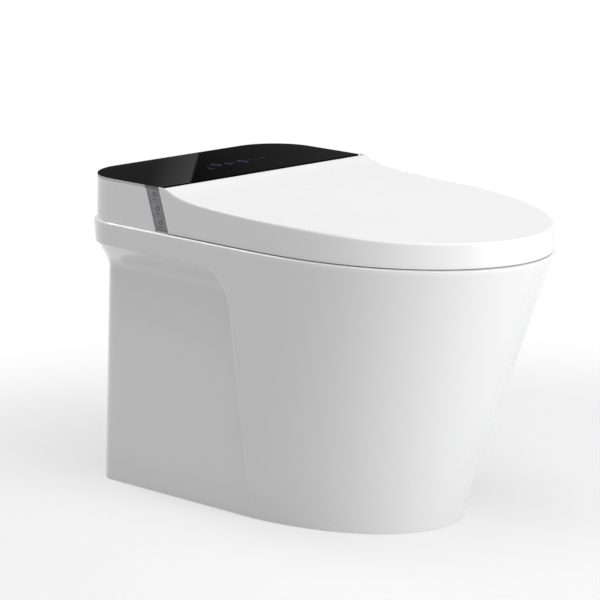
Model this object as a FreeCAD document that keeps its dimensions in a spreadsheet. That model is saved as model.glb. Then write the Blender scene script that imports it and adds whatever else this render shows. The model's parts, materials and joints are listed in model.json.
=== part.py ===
import FreeCAD, Part
import Sketcher
import math
import os
import re
from FreeCAD import Placement, Rotation, Vector

# A floor-standing tankless toilet with a heated seat, a soft-close lid and a washing and drying unit.
# Frame: millimetres, +Z up, the bowl's nose towards -Y, the wall side at +Y, the user's right hand at -X.
# The origin is on the floor, under the middle of the outline.

doc = FreeCAD.newDocument("SmartToilet")
sheet = doc.addObject("Spreadsheet::Sheet", "Sizes")

SIZES = [
    ("overall_width", 400, "across the lid"),
    ("overall_length", 670, "wall side to lid nose"),
    ("overall_height", 446, "floor to the glass panel"),
    # ceramic body
    ("rim_height", 384, "floor to the top of the china"),
    ("rim_half", 199, "half width of the china at the rim"),
    ("rim_bend_y", -1, "where the rim's side starts to curve in"),
    ("rim_nose_y", -332.5, "front of the rim"),
    ("rim_corner", 76, "rear corner radius at the rim"),
    ("rim_round", 4, "edge radius of the rim"),
    ("floor_half_rear", 160, "half width at the floor, wall side"),
    ("floor_half_mid", 155, "half width at the floor where the curve starts"),
    ("floor_bend_y", 123, "where the foot's side starts to curve in"),
    ("floor_nose_y", -191, "front of the foot"),
    ("foot_corner", 30, "rear corner radius of the recessed wall"),
    ("skirt_corner", 60, "rear corner radius that the skirt would have at the floor"),
    ("recess_front_y", 27, "front edge of the side recess"),
    ("recess_top", 350, "top edge of the side recess"),
    ("recess_bend", 57, "radius of the recess's upper front corner"),
    ("recess_half", 148, "half width of the recessed wall under the band"),
    ("recess_foot_half", 150.6, "half width of the recessed wall's front at the floor"),
    ("band_start", 360, "where the band begins to sweep in"),
    ("band_end", 307, "where the sweep meets the recessed wall"),
    ("band_inset", 3.6, "how far the top of the sweep lies inside the rim"),
    ("bowl_half", 131, "half width of the bowl's mouth"),
    ("bowl_half_length", 162, "half length of the bowl's mouth"),
    ("bowl_middle_y", -90, "middle of the bowl's mouth"),
    ("bowl_floor", 180, "height of the sump"),
    ("trap_radius", 24, "mouth of the trap"),
    ("trap_end_y", 22, "where the trap's mouth ends in the china"),
    ("notch_half", 78, "half width of the ledge cut away under the wands"),
    ("notch_floor", 366, "floor of that cut"),
    ("notch_front_y", 30, "front of that cut"),
    ("notch_rear_y", 127, "rear of that cut"),
    ("outlet_y", 30, "waste outlet, 305 from the wall side"),
    ("outlet_radius", 46, "waste outlet"),
    ("outlet_depth", 150, "height of the down leg"),
    ("gasket_radius", 66, "waste gasket, outside"),
    ("gasket_height", 11, "waste gasket"),
    ("bay_half", 112, "half width of the service bay at the back"),
    ("bay_front_y", 190, "front wall of the service bay"),
    ("bay_roof", 348, "roof of the service bay"),
    ("hose_hole_x", -60, "water hose through the deck"),
    ("hose_hole_y", 226, "water hose through the deck"),
    ("hose_hole_radius", 13, "water hose through the deck"),
    ("flush_port_radius", 9.2, "hole for the flush hose in the bay's front wall"),
    ("screw_radius", 3, "base screws"),
    ("screw_hole_radius", 3.1, "holes for the base screws in the china"),
    ("screw_hole_depth", 14, "holes for the base screws in the china"),
    # washing unit
    ("pad_height", 1, "foam strip under the unit"),
    ("plate_height", 4, "base plate"),
    ("plate_half", 180, "half width of the base plate"),
    ("plate_front_y", 120, "front of the base plate"),
    ("plate_rear_y", 326, "rear of the base plate"),
    ("plate_corner", 64, "rear corner radius of the base plate"),
    ("cover_foot_half", 198.5, "half width of the rear cover at its foot"),
    ("cover_top_half", 193.5, "half width of the rear cover at its top"),
    ("cover_wall", 3, "rear cover wall"),
    ("cover_corner", 72, "rear corner radius of the cover"),
    ("glass_height", 4, "glass panel"),
    ("glass_front_y", 158, "front edge of the glass panel"),
    ("seam_foot_y", 143, "rear edge of the lid's side at its foot"),
    ("seam_top_y", 160, "rear edge of the lid's side at its top"),
    ("seam_gap", 1.8, "gap between lid and rear cover"),
    ("cowl_top", 409, "top of the low cowl under the seat's rear"),
    ("cowl_half", 150, "half width of the cowl"),
    ("cowl_front_y", 48, "front face of the cowl"),
    ("cowl_wall", 2.5, "cowl wall"),
    # hinge
    ("hinge_y", 137, "common axis of seat and lid"),
    ("hinge_z", 431, "common axis of seat and lid"),
    ("knuckle_radius", 7.5, "hinge ears"),
    ("shaft_radius", 4, "hinge shaft"),
    ("shaft_play", 0.06, "running clearance on the shaft"),
    # seat
    ("seat_half", 192, "half width of the seat"),
    ("seat_nose_y", -327, "front of the seat"),
    ("seat_rear_y", 118, "rear edge of the seat"),
    ("seat_bottom", 388, "underside of the seat"),
    ("seat_skin", 3, "wall of the seat's upper shell"),
    ("hole_half", 106, "half width of the seat's hole"),
    ("hole_half_length", 134, "half length of the seat's hole"),
    ("hole_middle_y", -93, "middle of the seat's hole"),
    # lid
    ("lid_bottom", 386, "lower edge of the lid's skirt"),
    ("lid_draft", 5, "how far the lid's side leans in over its height"),
    ("lid_skin", 3.2, "wall of the lid"),
    ("lid_crown", 5, "rise of the lid's middle over its sides"),
    ("lid_rear_round", 13, "rolled rear edge of the lid"),
    # wands
    ("wand_slope", 12, "degrees below the horizontal"),
    ("wand_radius", 8, "wash wands"),
    ("wand_side", 16, "wand axis from the middle"),
    ("wand_length", 136, "wash wands"),
    ("wand_tip_y", 55, "tip of a parked wand"),
    ("wand_tip_z", 378, "axis height at the tip of a parked wand"),
    ("wand_play", 0.25, "clearance round a wand in its guide"),
    ("rack_module", 1, "rack and pinion"),
    ("pinion_teeth", 12, "rack and pinion"),
    ("rack_teeth", 34, "rack and pinion"),
    ("wand_tip_length", 12, "nozzle end of a wand"),
    ("pinion_station", 17, "pinion's place along a parked wand, from its tip"),
    # side keys
    ("key_width", 21, "side keys, along the strip's short side"),
    ("key_height", 17.6, "side keys, up the strip"),
    ("key_gap", 0.35, "gap round each key"),
    ("strip_width", 26, "grey control strip"),
    ("strip_depth", 2.2, "grey control strip"),
    # water and air
    ("inlet_radius", 10.48, "G1/2 male thread, outside"),
    ("impeller_radius", 25, "dryer fan"),
    ("impeller_height", 22, "dryer fan"),
    ("fan_x", 92, "dryer fan axis"),
    ("fan_y", 236, "dryer fan axis"),
    ("gland_radius", 4.5, "power cord gland, bore"),
    ("gland_x", 108, "power cord gland"),
    ("gland_z", 404, "power cord gland"),
]

for row, (alias, value, note) in enumerate(SIZES, start=1):
    sheet.set("A%d" % row, alias)
    sheet.set("B%d" % row, str(value))
    sheet.setAlias("B%d" % row, alias)
    sheet.set("C%d" % row, note)
doc.recompute()


class Values:
    """The sheet's cells as attributes, for the shapes that are set from code."""

    def __getattr__(self, alias):
        return float(sheet.get(alias))


size = Values()
nodes = []
X_AXIS, Y_AXIS, Z_AXIS = Vector(1, 0, 0), Vector(0, 1, 0), Vector(0, 0, 1)
ALIASES = re.compile(r"\b(" + "|".join(alias for alias, _, _ in SIZES) + r")\b")


def bind(item, **texts):
    """Bind properties to expressions written in the sheet's own words."""
    for name, text in texts.items():
        path = ".Placement.Base." + name if name in ("x", "y", "z") else name
        item.setExpression(path, ALIASES.sub(r"Sizes.\1", str(text)))
    return item


def block(name, corner, extent):
    item = doc.addObject("Part::Box", name)
    x, y, z = corner
    length, width, height = extent
    return bind(item, x=x, y=y, z=z, Length=length, Width=width, Height=height)


def rod(name, radius, height, base, direction=Z_AXIS):
    """A cylinder from base along direction."""
    item = doc.addObject("Part::Cylinder", name)
    item.Placement = Placement(Vector(), Rotation(Z_AXIS, direction))
    x, y, z = base
    return bind(item, Radius=radius, Height=height, x=x, y=y, z=z)


def join(name, *items):
    item = doc.addObject("Part::MultiFuse", name)
    item.Shapes = list(items)
    return item


def cut(name, base, *tools):
    item = doc.addObject("Part::Cut", name)
    item.Base = base
    item.Tool = tools[0] if len(tools) == 1 else join(name + "Tools", *tools)
    return item


def keep(item, label):
    """Make a finished sub-part one of the exported nodes."""
    item.Label = label
    nodes.append(item)
    return item


def solid(label, shape, at=None):
    """A sub-part whose shape comes from Part's own functions."""
    item = doc.addObject("Part::Feature", label)
    item.Shape = shape.removeSplitter() if shape.ShapeType != "Solid" else shape
    item.Placement = at or Placement()
    return keep(item, label)


def plane_of(body, role):
    return next(f for f in body.Origin.OriginFeatures if f.Role == role)


def rectangle(body, name, role, corner, extent):
    """A fully constrained rectangle on one of the body's origin planes, placed and sized by expressions."""
    sketch = body.newObject("Sketcher::SketchObject", name)
    sketch.AttachmentSupport = [(plane_of(body, role), "")]
    sketch.MapMode = "FlatFace"
    ends = [Vector(0, 0, 0), Vector(10, 0, 0), Vector(10, 10, 0), Vector(0, 10, 0)]
    for i in range(4):
        sketch.addGeometry(Part.LineSegment(ends[i], ends[(i + 1) % 4]), False)
    for i in range(4):
        sketch.addConstraint(Sketcher.Constraint("Coincident", i, 2, (i + 1) % 4, 1))
    for i, kind in enumerate(("Horizontal", "Vertical", "Horizontal", "Vertical")):
        sketch.addConstraint(Sketcher.Constraint(kind, i))
    measures = (
        Sketcher.Constraint("DistanceX", 0, 1, 0, 2, 10.0),
        Sketcher.Constraint("DistanceY", 1, 1, 1, 2, 10.0),
        Sketcher.Constraint("DistanceX", -1, 1, 0, 1, 1.0),
        Sketcher.Constraint("DistanceY", -1, 1, 0, 1, 1.0),
    )
    for measure, text in zip(measures, list(extent) + list(corner)):
        index = sketch.addConstraint(measure)
        bind(sketch, **{"Constraints[%d]" % index: text})
    return sketch


def plate_body(label, corner, extent, z, height, round_radius, rear_only=False):
    """A plate: a rectangle padded up from z, with its upright edges filleted, all of them or the rear two."""
    body = doc.addObject("PartDesign::Body", label)
    sketch = rectangle(body, label + "Outline", "XY_Plane", corner, extent)
    pad = body.newObject("PartDesign::Pad", label + "Pad")
    pad.Profile = sketch
    bind(pad, Length=height)
    bind(body, z=z)
    doc.recompute()
    middle_y = pad.Shape.BoundBox.Center.y
    upright = [
        "Edge%d" % (i + 1)
        for i, edge in enumerate(pad.Shape.Edges)
        if abs(edge.tangentAt(edge.FirstParameter).z) > 0.99
        and (edge.BoundBox.Center.y > middle_y or not rear_only)
    ]
    fillet = body.newObject("PartDesign::Fillet", label + "Fillet")
    fillet.Base = (pad, upright)
    bind(fillet, Radius=round_radius)
    body.Tip = fillet
    return body


# ---------------------------------------------------------------- outlines


def nose_curve(half, bend_y, nose_y, length_power, width_power, z, steps=7):
    """The front curve, a superellipse, from the left side round the nose to the right side."""
    left = []
    for i in range(steps + 1):
        angle = math.pi / 2 * i / steps
        x = -half * abs(math.cos(angle)) ** (2 / width_power)
        y = bend_y - (bend_y - nose_y) * math.sin(angle) ** (2 / length_power)
        left.append(Vector(x, y, z))
    left[-1].x = 0
    right = [Vector(-point.x, point.y, z) for point in reversed(left[:-1])]
    curve = Part.BSplineCurve()
    curve.interpolate(Points=left + right, InitialTangent=-Y_AXIS, FinalTangent=Y_AXIS)
    return curve.toShape()


def corner_arc(x, y, radius, z):
    """A quarter circle at the rear corner (x, y), on the side of x's sign, from the rear edge to the side."""
    side = math.copysign(1, x)
    middle = Vector(x - side * radius, y - radius, z)
    points = [
        middle + Vector(side * radius * math.cos(a), radius * math.sin(a), 0)
        for a in (math.pi / 2, math.pi / 4, 0)
    ]
    return Part.Arc(*points).toShape()


RIM_POWERS = (2.48, 1.96)  # the nose curve's powers, along and across: at the rim, seat and lid
FOOT_POWERS = (2.57, 2.0)


def outline(half, half_mid, bend_y, nose_y, rear_y, corner, z, powers=RIM_POWERS):
    """A closed plan: straight rear, rounded rear corners, straight sides and a curved nose."""
    left = corner_arc(-half, rear_y, corner, z)
    right = corner_arc(half, rear_y, corner, z)
    nose = nose_curve(half_mid, bend_y, nose_y, powers[0], powers[1], z)
    edges = [
        left,
        Part.makeLine(Vector(-half, rear_y - corner, z), Vector(-half_mid, bend_y, z)),
        nose,
        Part.makeLine(Vector(half_mid, bend_y, z), Vector(half, rear_y - corner, z)),
        right,
        Part.makeLine(Vector(half - corner, rear_y, z), Vector(corner - half, rear_y, z)),
    ]
    return Part.Wire(Part.sortEdges(edges)[0])


def tub(half, rear_y, front_y, corner, z, front_half=None):
    """A plan with a straight front and rounded rear corners; its front may have a half width of its own."""
    front_half = front_half or half
    edges = [
        corner_arc(-half, rear_y, corner, z),
        Part.makeLine(Vector(-half, rear_y - corner, z), Vector(-front_half, front_y, z)),
        Part.makeLine(Vector(-front_half, front_y, z), Vector(front_half, front_y, z)),
        Part.makeLine(Vector(front_half, front_y, z), Vector(half, rear_y - corner, z)),
        corner_arc(half, rear_y, corner, z),
        Part.makeLine(Vector(half - corner, rear_y, z), Vector(corner - half, rear_y, z)),
    ]
    return Part.Wire(Part.sortEdges(edges)[0])


def loft(wires, ruled=True):
    return Part.makeLoft(wires, True, ruled)


def ellipse(half_x, half_y, middle_y, z):
    curve = Part.Ellipse(Vector(0, middle_y, z), max(half_x, half_y), min(half_x, half_y))
    curve.Axis = Z_AXIS
    curve.XAxis = Y_AXIS if half_y > half_x else X_AXIS
    return Part.Wire(curve.toShape())


def box_shape(x0, x1, y0, y1, z0, z1):
    return Part.makeBox(x1 - x0, y1 - y0, z1 - z0, Vector(x0, y0, z0))


def cylinder_shape(radius, start, end):
    reach = end - start
    return Part.makeCylinder(radius, reach.Length, start, reach)


def side_prism(points, x0, x1):
    """A profile in the YZ plane, given as (y, z) points, drawn out from x0 to x1."""
    loop = [Vector(x0, y, z) for y, z in points]
    face = Part.Face(Part.makePolygon(loop + loop[:1]))
    return face.extrude(Vector(x1 - x0, 0, 0))


def mirrored(shape):
    return shape.mirror(Vector(), X_AXIS)


def edges_at(shape, test):
    return [edge for edge in shape.Edges if test(edge)]


# ---------------------------------------------------------------- ceramic body

FLUSH_PORT = (-46, 190, 320)
SCREW_PLACES = [(-172, 140), (172, 140), (-145, 296), (145, 296)]


def recess_cutter():
    """What is cut from the skirt's side: a region with an arched upper front corner, drawn out sideways."""
    front, top, bend = size.recess_front_y, size.recess_top, size.recess_bend
    x, inner_x = -size.rim_half - 60, -size.recess_half + 23
    back, low = size.overall_length / 2 + 85, -5
    middle = Vector(x, front + bend, top - bend)
    knee = middle + Vector(0, -bend * math.cos(math.pi / 4), bend * math.sin(math.pi / 4))
    start, end = Vector(x, front, top - bend), Vector(x, front + bend, top)
    edges = [
        Part.makeLine(Vector(x, front, low), start),
        Part.Arc(start, knee, end).toShape(),
        Part.makeLine(end, Vector(x, back, top)),
        Part.makeLine(Vector(x, back, top), Vector(x, back, low)),
        Part.makeLine(Vector(x, back, low), Vector(x, front, low)),
    ]
    return Part.Face(Part.Wire(edges)).extrude(Vector(inner_x - x, 0, 0))


def band_sweep(rear_y, front_y):
    """The S-shaped sweep from the wide band down to the narrow recessed wall."""
    wide, narrow = size.rim_half - size.band_inset, size.recess_half
    wires = []
    steps = 6
    for i in range(steps + 1):
        down = i / steps
        ease = down * down * (3 - 2 * down)
        z = size.band_start + (size.band_end - size.band_start) * down
        half = wide + (narrow - wide) * ease
        corner = size.rim_corner + (size.foot_corner - size.rim_corner) * ease
        wires.append(tub(half, rear_y, front_y, corner, z))
    return loft(wires, ruled=False)


def skirt_section(z, inset=0):
    """The rim's plan at height z, pulled in all round by inset."""
    half = size.rim_half - inset
    return outline(half, half, size.rim_bend_y, size.rim_nose_y + inset,
                   size.overall_length / 2 - inset, size.rim_corner - inset, z)


def skirt_shape():
    """The outer wall, leaning out from the foot to the rim, with a rounded top edge."""
    rear, radius = size.overall_length / 2, size.rim_round
    foot = outline(size.floor_half_rear, size.floor_half_mid, size.floor_bend_y,
                   size.floor_nose_y, rear, size.skirt_corner, 0, powers=FOOT_POWERS)
    sections = [foot]
    for angle in (0, math.pi / 4, math.pi / 2):
        z = size.rim_height - radius * (1 - math.sin(angle))
        sections.append(skirt_section(z, radius * (1 - math.cos(angle))))
    return loft(sections)


def ceramic():
    rear = size.overall_length / 2
    cutter = recess_cutter()
    skirt = skirt_shape().cut([cutter, mirrored(cutter)])
    inner_rear = rear - 1
    pillar_front = size.recess_front_y - 3
    pillar = loft([
        tub(size.floor_half_rear, inner_rear, pillar_front, size.foot_corner, 0, size.recess_foot_half),
        tub(size.recess_half, inner_rear, pillar_front, size.foot_corner, size.band_end),
    ])
    body = skirt.fuse([pillar, band_sweep(inner_rear, size.recess_front_y - 40)])

    bowl_sections = (
        (1.0, 1.0, 0, size.rim_height + 1),
        (0.945, 0.94, 2, 330),
        (0.73, 0.74, 15, 260),
        (0.44, 0.44, 35, 205),
        (0.30, 0.30, 45, size.bowl_floor),
    )
    bowl = loft([
        ellipse(size.bowl_half * wide, size.bowl_half_length * long, size.bowl_middle_y + shift, z)
        for wide, long, shift, z in bowl_sections
    ], ruled=False)
    trap_z = size.bowl_floor + size.trap_radius
    trap = cylinder_shape(size.trap_radius, Vector(0, size.bowl_middle_y + 45, trap_z),
                          Vector(0, size.trap_end_y, trap_z))
    notch = box_shape(-size.notch_half, size.notch_half, size.notch_front_y, size.notch_rear_y,
                      size.notch_floor, size.rim_height + 1)
    outlet = Vector(0, size.outlet_y, 0)
    down_leg = cylinder_shape(size.outlet_radius, outlet - Z_AXIS, outlet + Z_AXIS * size.outlet_depth)
    gasket_seat = cylinder_shape(size.gasket_radius, outlet - Z_AXIS, outlet + Z_AXIS * size.gasket_height)
    bay = box_shape(-size.bay_half, size.bay_half, size.bay_front_y, rear + 5, -1, size.bay_roof)
    hose_x, hose_y = size.hose_hole_x, size.hose_hole_y
    hose_hole = cylinder_shape(size.hose_hole_radius, Vector(hose_x, hose_y, size.bay_roof - 1),
                               Vector(hose_x, hose_y, size.rim_height + 1))
    port_start = Vector(*FLUSH_PORT) + Y_AXIS
    port = cylinder_shape(size.flush_port_radius, port_start, port_start - Y_AXIS * 41)
    hole_floor = size.rim_height - size.screw_hole_depth
    screw_holes = [
        cylinder_shape(size.screw_hole_radius, Vector(x, y, hole_floor), Vector(x, y, size.rim_height + 1))
        for x, y in SCREW_PLACES
    ]
    return body.cut([bowl, trap, notch, down_leg, gasket_seat, bay, hose_hole, port] + screw_holes)


solid("ceramic_body", ceramic())

gasket_ring = cut(
    "GasketRing",
    rod("GasketDisc", "gasket_radius - 0.2", "gasket_height", (0, "outlet_y", 0)),
    rod("GasketBore", "outlet_radius + 1.5", "gasket_height + 2", (0, "outlet_y", -1)),
)
keep(gasket_ring, "outlet_gasket")


# ---------------------------------------------------------------- base of the washing unit

pad_ring = cut(
    "PadRing",
    plate_body("PadSheet", ("-plate_half + 3", "plate_front_y + 3"),
               ("2 * plate_half - 6", "plate_rear_y - plate_front_y - 6"),
               "rim_height", "pad_height", "plate_corner - 3", rear_only=True),
    plate_body("PadOpening", ("-plate_half + 16", "plate_front_y - 2"),
               ("2 * plate_half - 32", "plate_rear_y - plate_front_y - 14"),
               "rim_height - 1", "pad_height + 2", "plate_corner - 16", rear_only=True),
    *[rod("PadScrewHole%d" % i, 4, 20, (x, y, "rim_height - 5")) for i, (x, y) in enumerate(SCREW_PLACES)],
)
keep(pad_ring, "deck_pad")

PLATE_Z = "rim_height + pad_height"
plate_outline = join(
    "PlateOutline",
    plate_body("PlateMain", ("-plate_half", "plate_front_y"),
               ("2 * plate_half", "plate_rear_y - plate_front_y"),
               PLATE_Z, "plate_height", "plate_corner", rear_only=True),
    block("PlateTongues", ("-cowl_half", "cowl_front_y + 2", PLATE_Z),
          ("2 * cowl_half", "plate_front_y - cowl_front_y - 2", "plate_height")),
)
plate_cut = cut(
    "PlateCut",
    plate_outline,
    block("PlateNotch", ("-notch_half - 2", "cowl_front_y", PLATE_Z + " - 1"),
          ("2 * notch_half + 4", "plate_front_y - cowl_front_y", "plate_height + 2")),
    block("PlateWandSlot", (-36, "plate_front_y - 5", PLATE_Z + " - 1"), (72, 40, "plate_height + 2")),
    rod("PlateHoseHole", "hose_hole_radius - 2", 20, ("hose_hole_x", "hose_hole_y", "rim_height - 5")),
    *[rod("PlateScrewHole%d" % i, "screw_radius + 0.2", 20, (x, y, "rim_height - 5"))
      for i, (x, y) in enumerate(SCREW_PLACES)],
)
keep(plate_cut, "base_plate")

PLATE_TOP = PLATE_Z + " + plate_height"
screws = []
for i, (x, y) in enumerate(SCREW_PLACES):
    head_disc = rod("ScrewHead%d" % i, 5.5, 3.6, (x, y, PLATE_TOP))
    shank = rod("ScrewShank%d" % i, "screw_radius", 18.5, (x, y, PLATE_TOP + " - 18"))
    slot = block("ScrewSlot%d" % i, (x - 6, y - 0.6, PLATE_TOP + " + 2.4"), (12, 1.2, 2))
    screws.append(cut("Screw%d" % i, join("ScrewBlank%d" % i, head_disc, shank), slot))
screw_set = doc.addObject("Part::Compound", "ScrewSet")
screw_set.Links = screws
keep(screw_set, "base_screws")


def plate_top():
    return size.rim_height + size.pad_height + size.plate_height


# ---------------------------------------------------------------- rear cover, glass and side keys


def seam_y(z, behind=0):
    """The slanted line between lid and cover, seen from the side, at height z."""
    rise = (z - size.lid_bottom) / (size.overall_height - size.lid_bottom)
    return size.seam_foot_y + (size.seam_top_y - size.seam_foot_y) * rise + behind


def slanted(behind_front, behind_rear, z0, z1, x0, x1):
    """A leaning block whose front and rear faces run parallel to the seam."""
    points = [
        (seam_y(z0, behind_front), z0), (seam_y(z0, behind_rear), z0),
        (seam_y(z1, behind_rear), z1), (seam_y(z1, behind_front), z1),
    ]
    return side_prism(points, x0, x1)


def cover_half(z):
    """The cover's half width at height z."""
    foot_z, top_z = plate_top() - size.plate_height, size.overall_height - size.glass_height
    share = (z - foot_z) / (top_z - foot_z)
    return size.cover_foot_half - (size.cover_foot_half - size.cover_top_half) * share


def cover_block(inset, top=None):
    """The cover's outside, drafted, pulled in by inset."""
    front_y = 100
    foot_z, top_z = plate_top() - size.plate_height, top or size.overall_height - size.glass_height
    rear = size.overall_length / 2 - 0.5
    share = (top_z - foot_z) / (size.overall_height - size.glass_height - foot_z)
    return loft([
        tub(size.cover_foot_half - inset, rear - inset, front_y, size.cover_corner + 4 - inset, foot_z),
        tub(cover_half(top_z) - inset, rear - 3.5 * share - inset, front_y,
            size.cover_corner + 4 - 4 * share - inset, top_z),
    ])


def key_rows():
    """The z range of each of the three keys."""
    low = size.lid_bottom + 1.5
    pitch = size.key_height + 2 * size.key_gap
    return [(low + i * pitch, low + i * pitch + size.key_height) for i in range(3)]


STRIP_X = (-215, -170)  # what the strip and keys are cut from, across the cover's side
KEY_INSET = 2.4  # from the strip's front edge to the keys
GLAND_FACE_Y = 333.2  # where the gland's flange sits in the cover's rear wall


def key_prism(rows, grow):
    z0, z1 = rows
    front = size.seam_gap + KEY_INSET
    return slanted(front - grow, front + size.key_width + grow, z0 - grow, z1 + grow, *STRIP_X)


def strip_prism(grow=0):
    return slanted(size.seam_gap - grow, size.seam_gap + size.strip_width + grow,
                   size.lid_bottom - grow, size.overall_height - size.glass_height - 0.2 + grow, *STRIP_X)


def rear_cover():
    outer = cover_block(0)
    inner = cover_block(size.cover_wall, top=size.overall_height - size.glass_height - size.cover_wall)
    inner = inner.cut(slanted(-200, size.seam_gap + size.cover_wall, 360, 470, -230, 230))
    front_cut = slanted(-200, size.seam_gap, 360, 470, -230, 230)
    front_y, low = 130, 380
    tunnel_half, plate_room_half = size.cowl_half + 1.5, size.plate_half + 1
    tunnel = box_shape(-tunnel_half, tunnel_half, front_y, 168, low, size.cowl_top + 0.6)
    plate_room = box_shape(-plate_room_half, plate_room_half, front_y, 300, low, plate_top())
    wand_tunnel = box_shape(-30, 30, front_y, 168, low, 413)
    window = box_shape(-66, 86, 208, 262, 430, 450)
    gland_end = Vector(size.gland_x, 340, size.gland_z)
    gland = cylinder_shape(6.5, gland_end - Y_AXIS * 20, gland_end)
    flange_seat = cylinder_shape(9.1, Vector(size.gland_x, GLAND_FACE_Y, size.gland_z), gland_end)
    strip_bed = strip_prism(0.1).cut(cover_block(size.strip_depth))
    keys = [key_prism(rows, size.key_gap) for rows in key_rows()]
    post_top = size.overall_height - size.glass_height - 1
    posts = [
        cylinder_shape(5, Vector(x, y, plate_top()), Vector(x, y, post_top))
        for x in (-172, 172) for y in (194, 262)
    ]
    openings = [inner, front_cut, tunnel, plate_room, wand_tunnel, window, gland, flange_seat, strip_bed]
    return outer.cut(openings + keys).fuse(posts)


solid("rear_cover", rear_cover())


def side_strip():
    band = cover_block(0).cut(cover_block(size.strip_depth)).common(strip_prism())
    return band.cut([key_prism(rows, size.key_gap) for rows in key_rows()])


solid("side_strip", side_strip())


def side_key(rows):
    """One key: a plate proud of the strip by a hair, and a stem that reaches its switch."""
    plate = cover_block(-0.3).cut(cover_block(1.9)).common(key_prism(rows, 0))
    z = (rows[0] + rows[1]) / 2
    y = seam_y(z, size.seam_gap + KEY_INSET + size.key_width / 2)
    stem = cylinder_shape(2.5, Vector(1 - cover_half(z), y, z), Vector(-189.4, y, z))
    return plate.fuse(stem)


for key_name, rows in zip(("lower_key", "middle_key", "upper_key"), key_rows()):
    solid(key_name, side_key(rows))


def key_board():
    board = slanted(6, 27, size.lid_bottom + 2, size.overall_height - 10, -186, -184.4)
    switches = []
    for rows in key_rows():
        z = (rows[0] + rows[1]) / 2
        y = seam_y(z, size.seam_gap + KEY_INSET + size.key_width / 2)
        switches.append(box_shape(-188.4, -185.5, y - 3, y + 3, z - 3, z + 3))
    foot = box_shape(-186, -176, 150, 162, plate_top(), plate_top() + 2)
    return board.fuse(switches + [foot])


def glass_panel():
    z = size.overall_height - size.glass_height
    rim = tub(size.cover_top_half, size.overall_length / 2 - 4, size.glass_front_y, size.cover_corner, z)
    sheet_glass = Part.Face(rim).extrude(Vector(0, 0, size.glass_height))
    top_edges = edges_at(sheet_glass, lambda e: e.BoundBox.ZMin > size.overall_height - 0.1)
    return sheet_glass.makeFillet(1.2, top_edges)


solid("glass_panel", glass_panel())

display = join(
    "DisplayParts",
    block("DisplayModule", (-65.5, 208.5, 433), (151, 53, "overall_height - glass_height - 433")),
    block("DisplayFlange", (-72, 202, "overall_height - glass_height - cover_wall - 2"), (164, 66, 2)),
    block("DisplayPlug", (0, 240, 428), (24, 12, 6)),
)
keep(display, "display_module")


# ---------------------------------------------------------------- low cowl in front of the unit


def along_wand(side, distance, lift=0, aside=0):
    """A point beside a parked wand: distance back from its tip, lift off its axis, aside across it."""
    slope = math.radians(size.wand_slope)
    y = size.wand_tip_y + distance * math.cos(slope) - lift * math.sin(slope)
    z = size.wand_tip_z + distance * math.sin(slope) + lift * math.cos(slope)
    return Vector(side * (size.wand_side + aside), y, z)


def wand_box(x0, x1, s0, s1, n0, n1):
    """A box square to the wands: across x0..x1, along s0..s1 from the tips, and n0..n1 off their plane."""
    shape = box_shape(x0, x1, s0, s1, n0, n1)
    shape.rotate(Vector(), X_AXIS, size.wand_slope)
    shape.translate(Vector(0, size.wand_tip_y, size.wand_tip_z))
    return shape


DUCT_X = (45, 73)
DUCT_PATH = [(207, 391), (207, 405.5), (118, 405.5), (68, 385),
             (50.5, 385), (50.5, 371), (68, 371), (118, 391)]  # side view, from the fan's outlet to the front
FLAP_PIVOT = (46.2, 385.4)  # y and z of the flap's pin
RACK_PITCH_LINE = 11.5  # from a wand's axis


def duct_profile(wall):
    """The duct's side view, pulled in by wall; the two ends stay open."""
    (y0, z0), (_, z1), (y2, _), (y3, z3), (y4, _), (_, z5), (y6, _), (y7, _) = DUCT_PATH
    reach = 2 if wall else 0
    points = [(y0 + reach, z0 + wall), (y0 + reach, z1 - wall), (y2, z1 - wall), (y3, z3 - wall),
              (y4 - reach, z3 - wall), (y4 - reach, z5 + wall), (y6, z5 + wall), (y7, z0 + wall)]
    return side_prism(points, DUCT_X[0] + wall, DUCT_X[1] - wall)


def front_cowl():
    half, wall, top = size.cowl_half, size.cowl_wall, size.cowl_top
    front, rear, low = size.cowl_front_y, 150, plate_top()
    outer = box_shape(-half, half, front, rear, low, top)
    outer = outer.makeFillet(6, edges_at(outer, lambda e: e.BoundBox.YMax < front + 0.1 and (
        e.BoundBox.ZMin > top - 0.1 or e.BoundBox.ZMax - e.BoundBox.ZMin > 1)))
    lip_half = size.notch_half - 2
    lip = box_shape(-lip_half, lip_half, front, front + wall, size.notch_floor + 3, low + 8)
    hollow = box_shape(wall - half, half - wall, front + wall, rear + 5, low - 5, top - wall)
    ears = [
        box_shape(x, x + 2.4, front - 3.8, front, FLAP_PIVOT[1] - 2.6, FLAP_PIVOT[1] + 2)
        for x in (DUCT_X[0] - 1.8, DUCT_X[1] - 0.6)
    ]
    ports = []
    for side in (-1, 1):
        ports.append(cylinder_shape(size.wand_radius + 0.8, along_wand(side, -20), along_wand(side, 20)))
        x0, x1 = sorted((side * (size.wand_side + 4), side * (size.wand_side + RACK_PITCH_LINE + 1.8)))
        ports.append(wand_box(x0, x1, -20, 20, -3.8, 3.8))
    air = box_shape(DUCT_X[0] + 1.5, DUCT_X[1] - 1.5, front - 1, front + 5, 372.5, 383.5)
    pivot = cylinder_shape(1.45, Vector(DUCT_X[0] - 5, *FLAP_PIVOT), Vector(DUCT_X[1] + 5, *FLAP_PIVOT))
    return outer.cut(hollow).fuse([lip] + ears).cut(ports + [air, pivot])


solid("front_cowl", front_cowl())


# ---------------------------------------------------------------- hinge

EAR_SPANS = {"inner": (104, 116), "seat": (118, 134), "lid": (136, 150), "outer": (152, 164)}


def hinge_point(x):
    return Vector(x, size.hinge_y, size.hinge_z)


def both_sides(shape):
    return Part.makeCompound([shape, mirrored(shape)])


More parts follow.
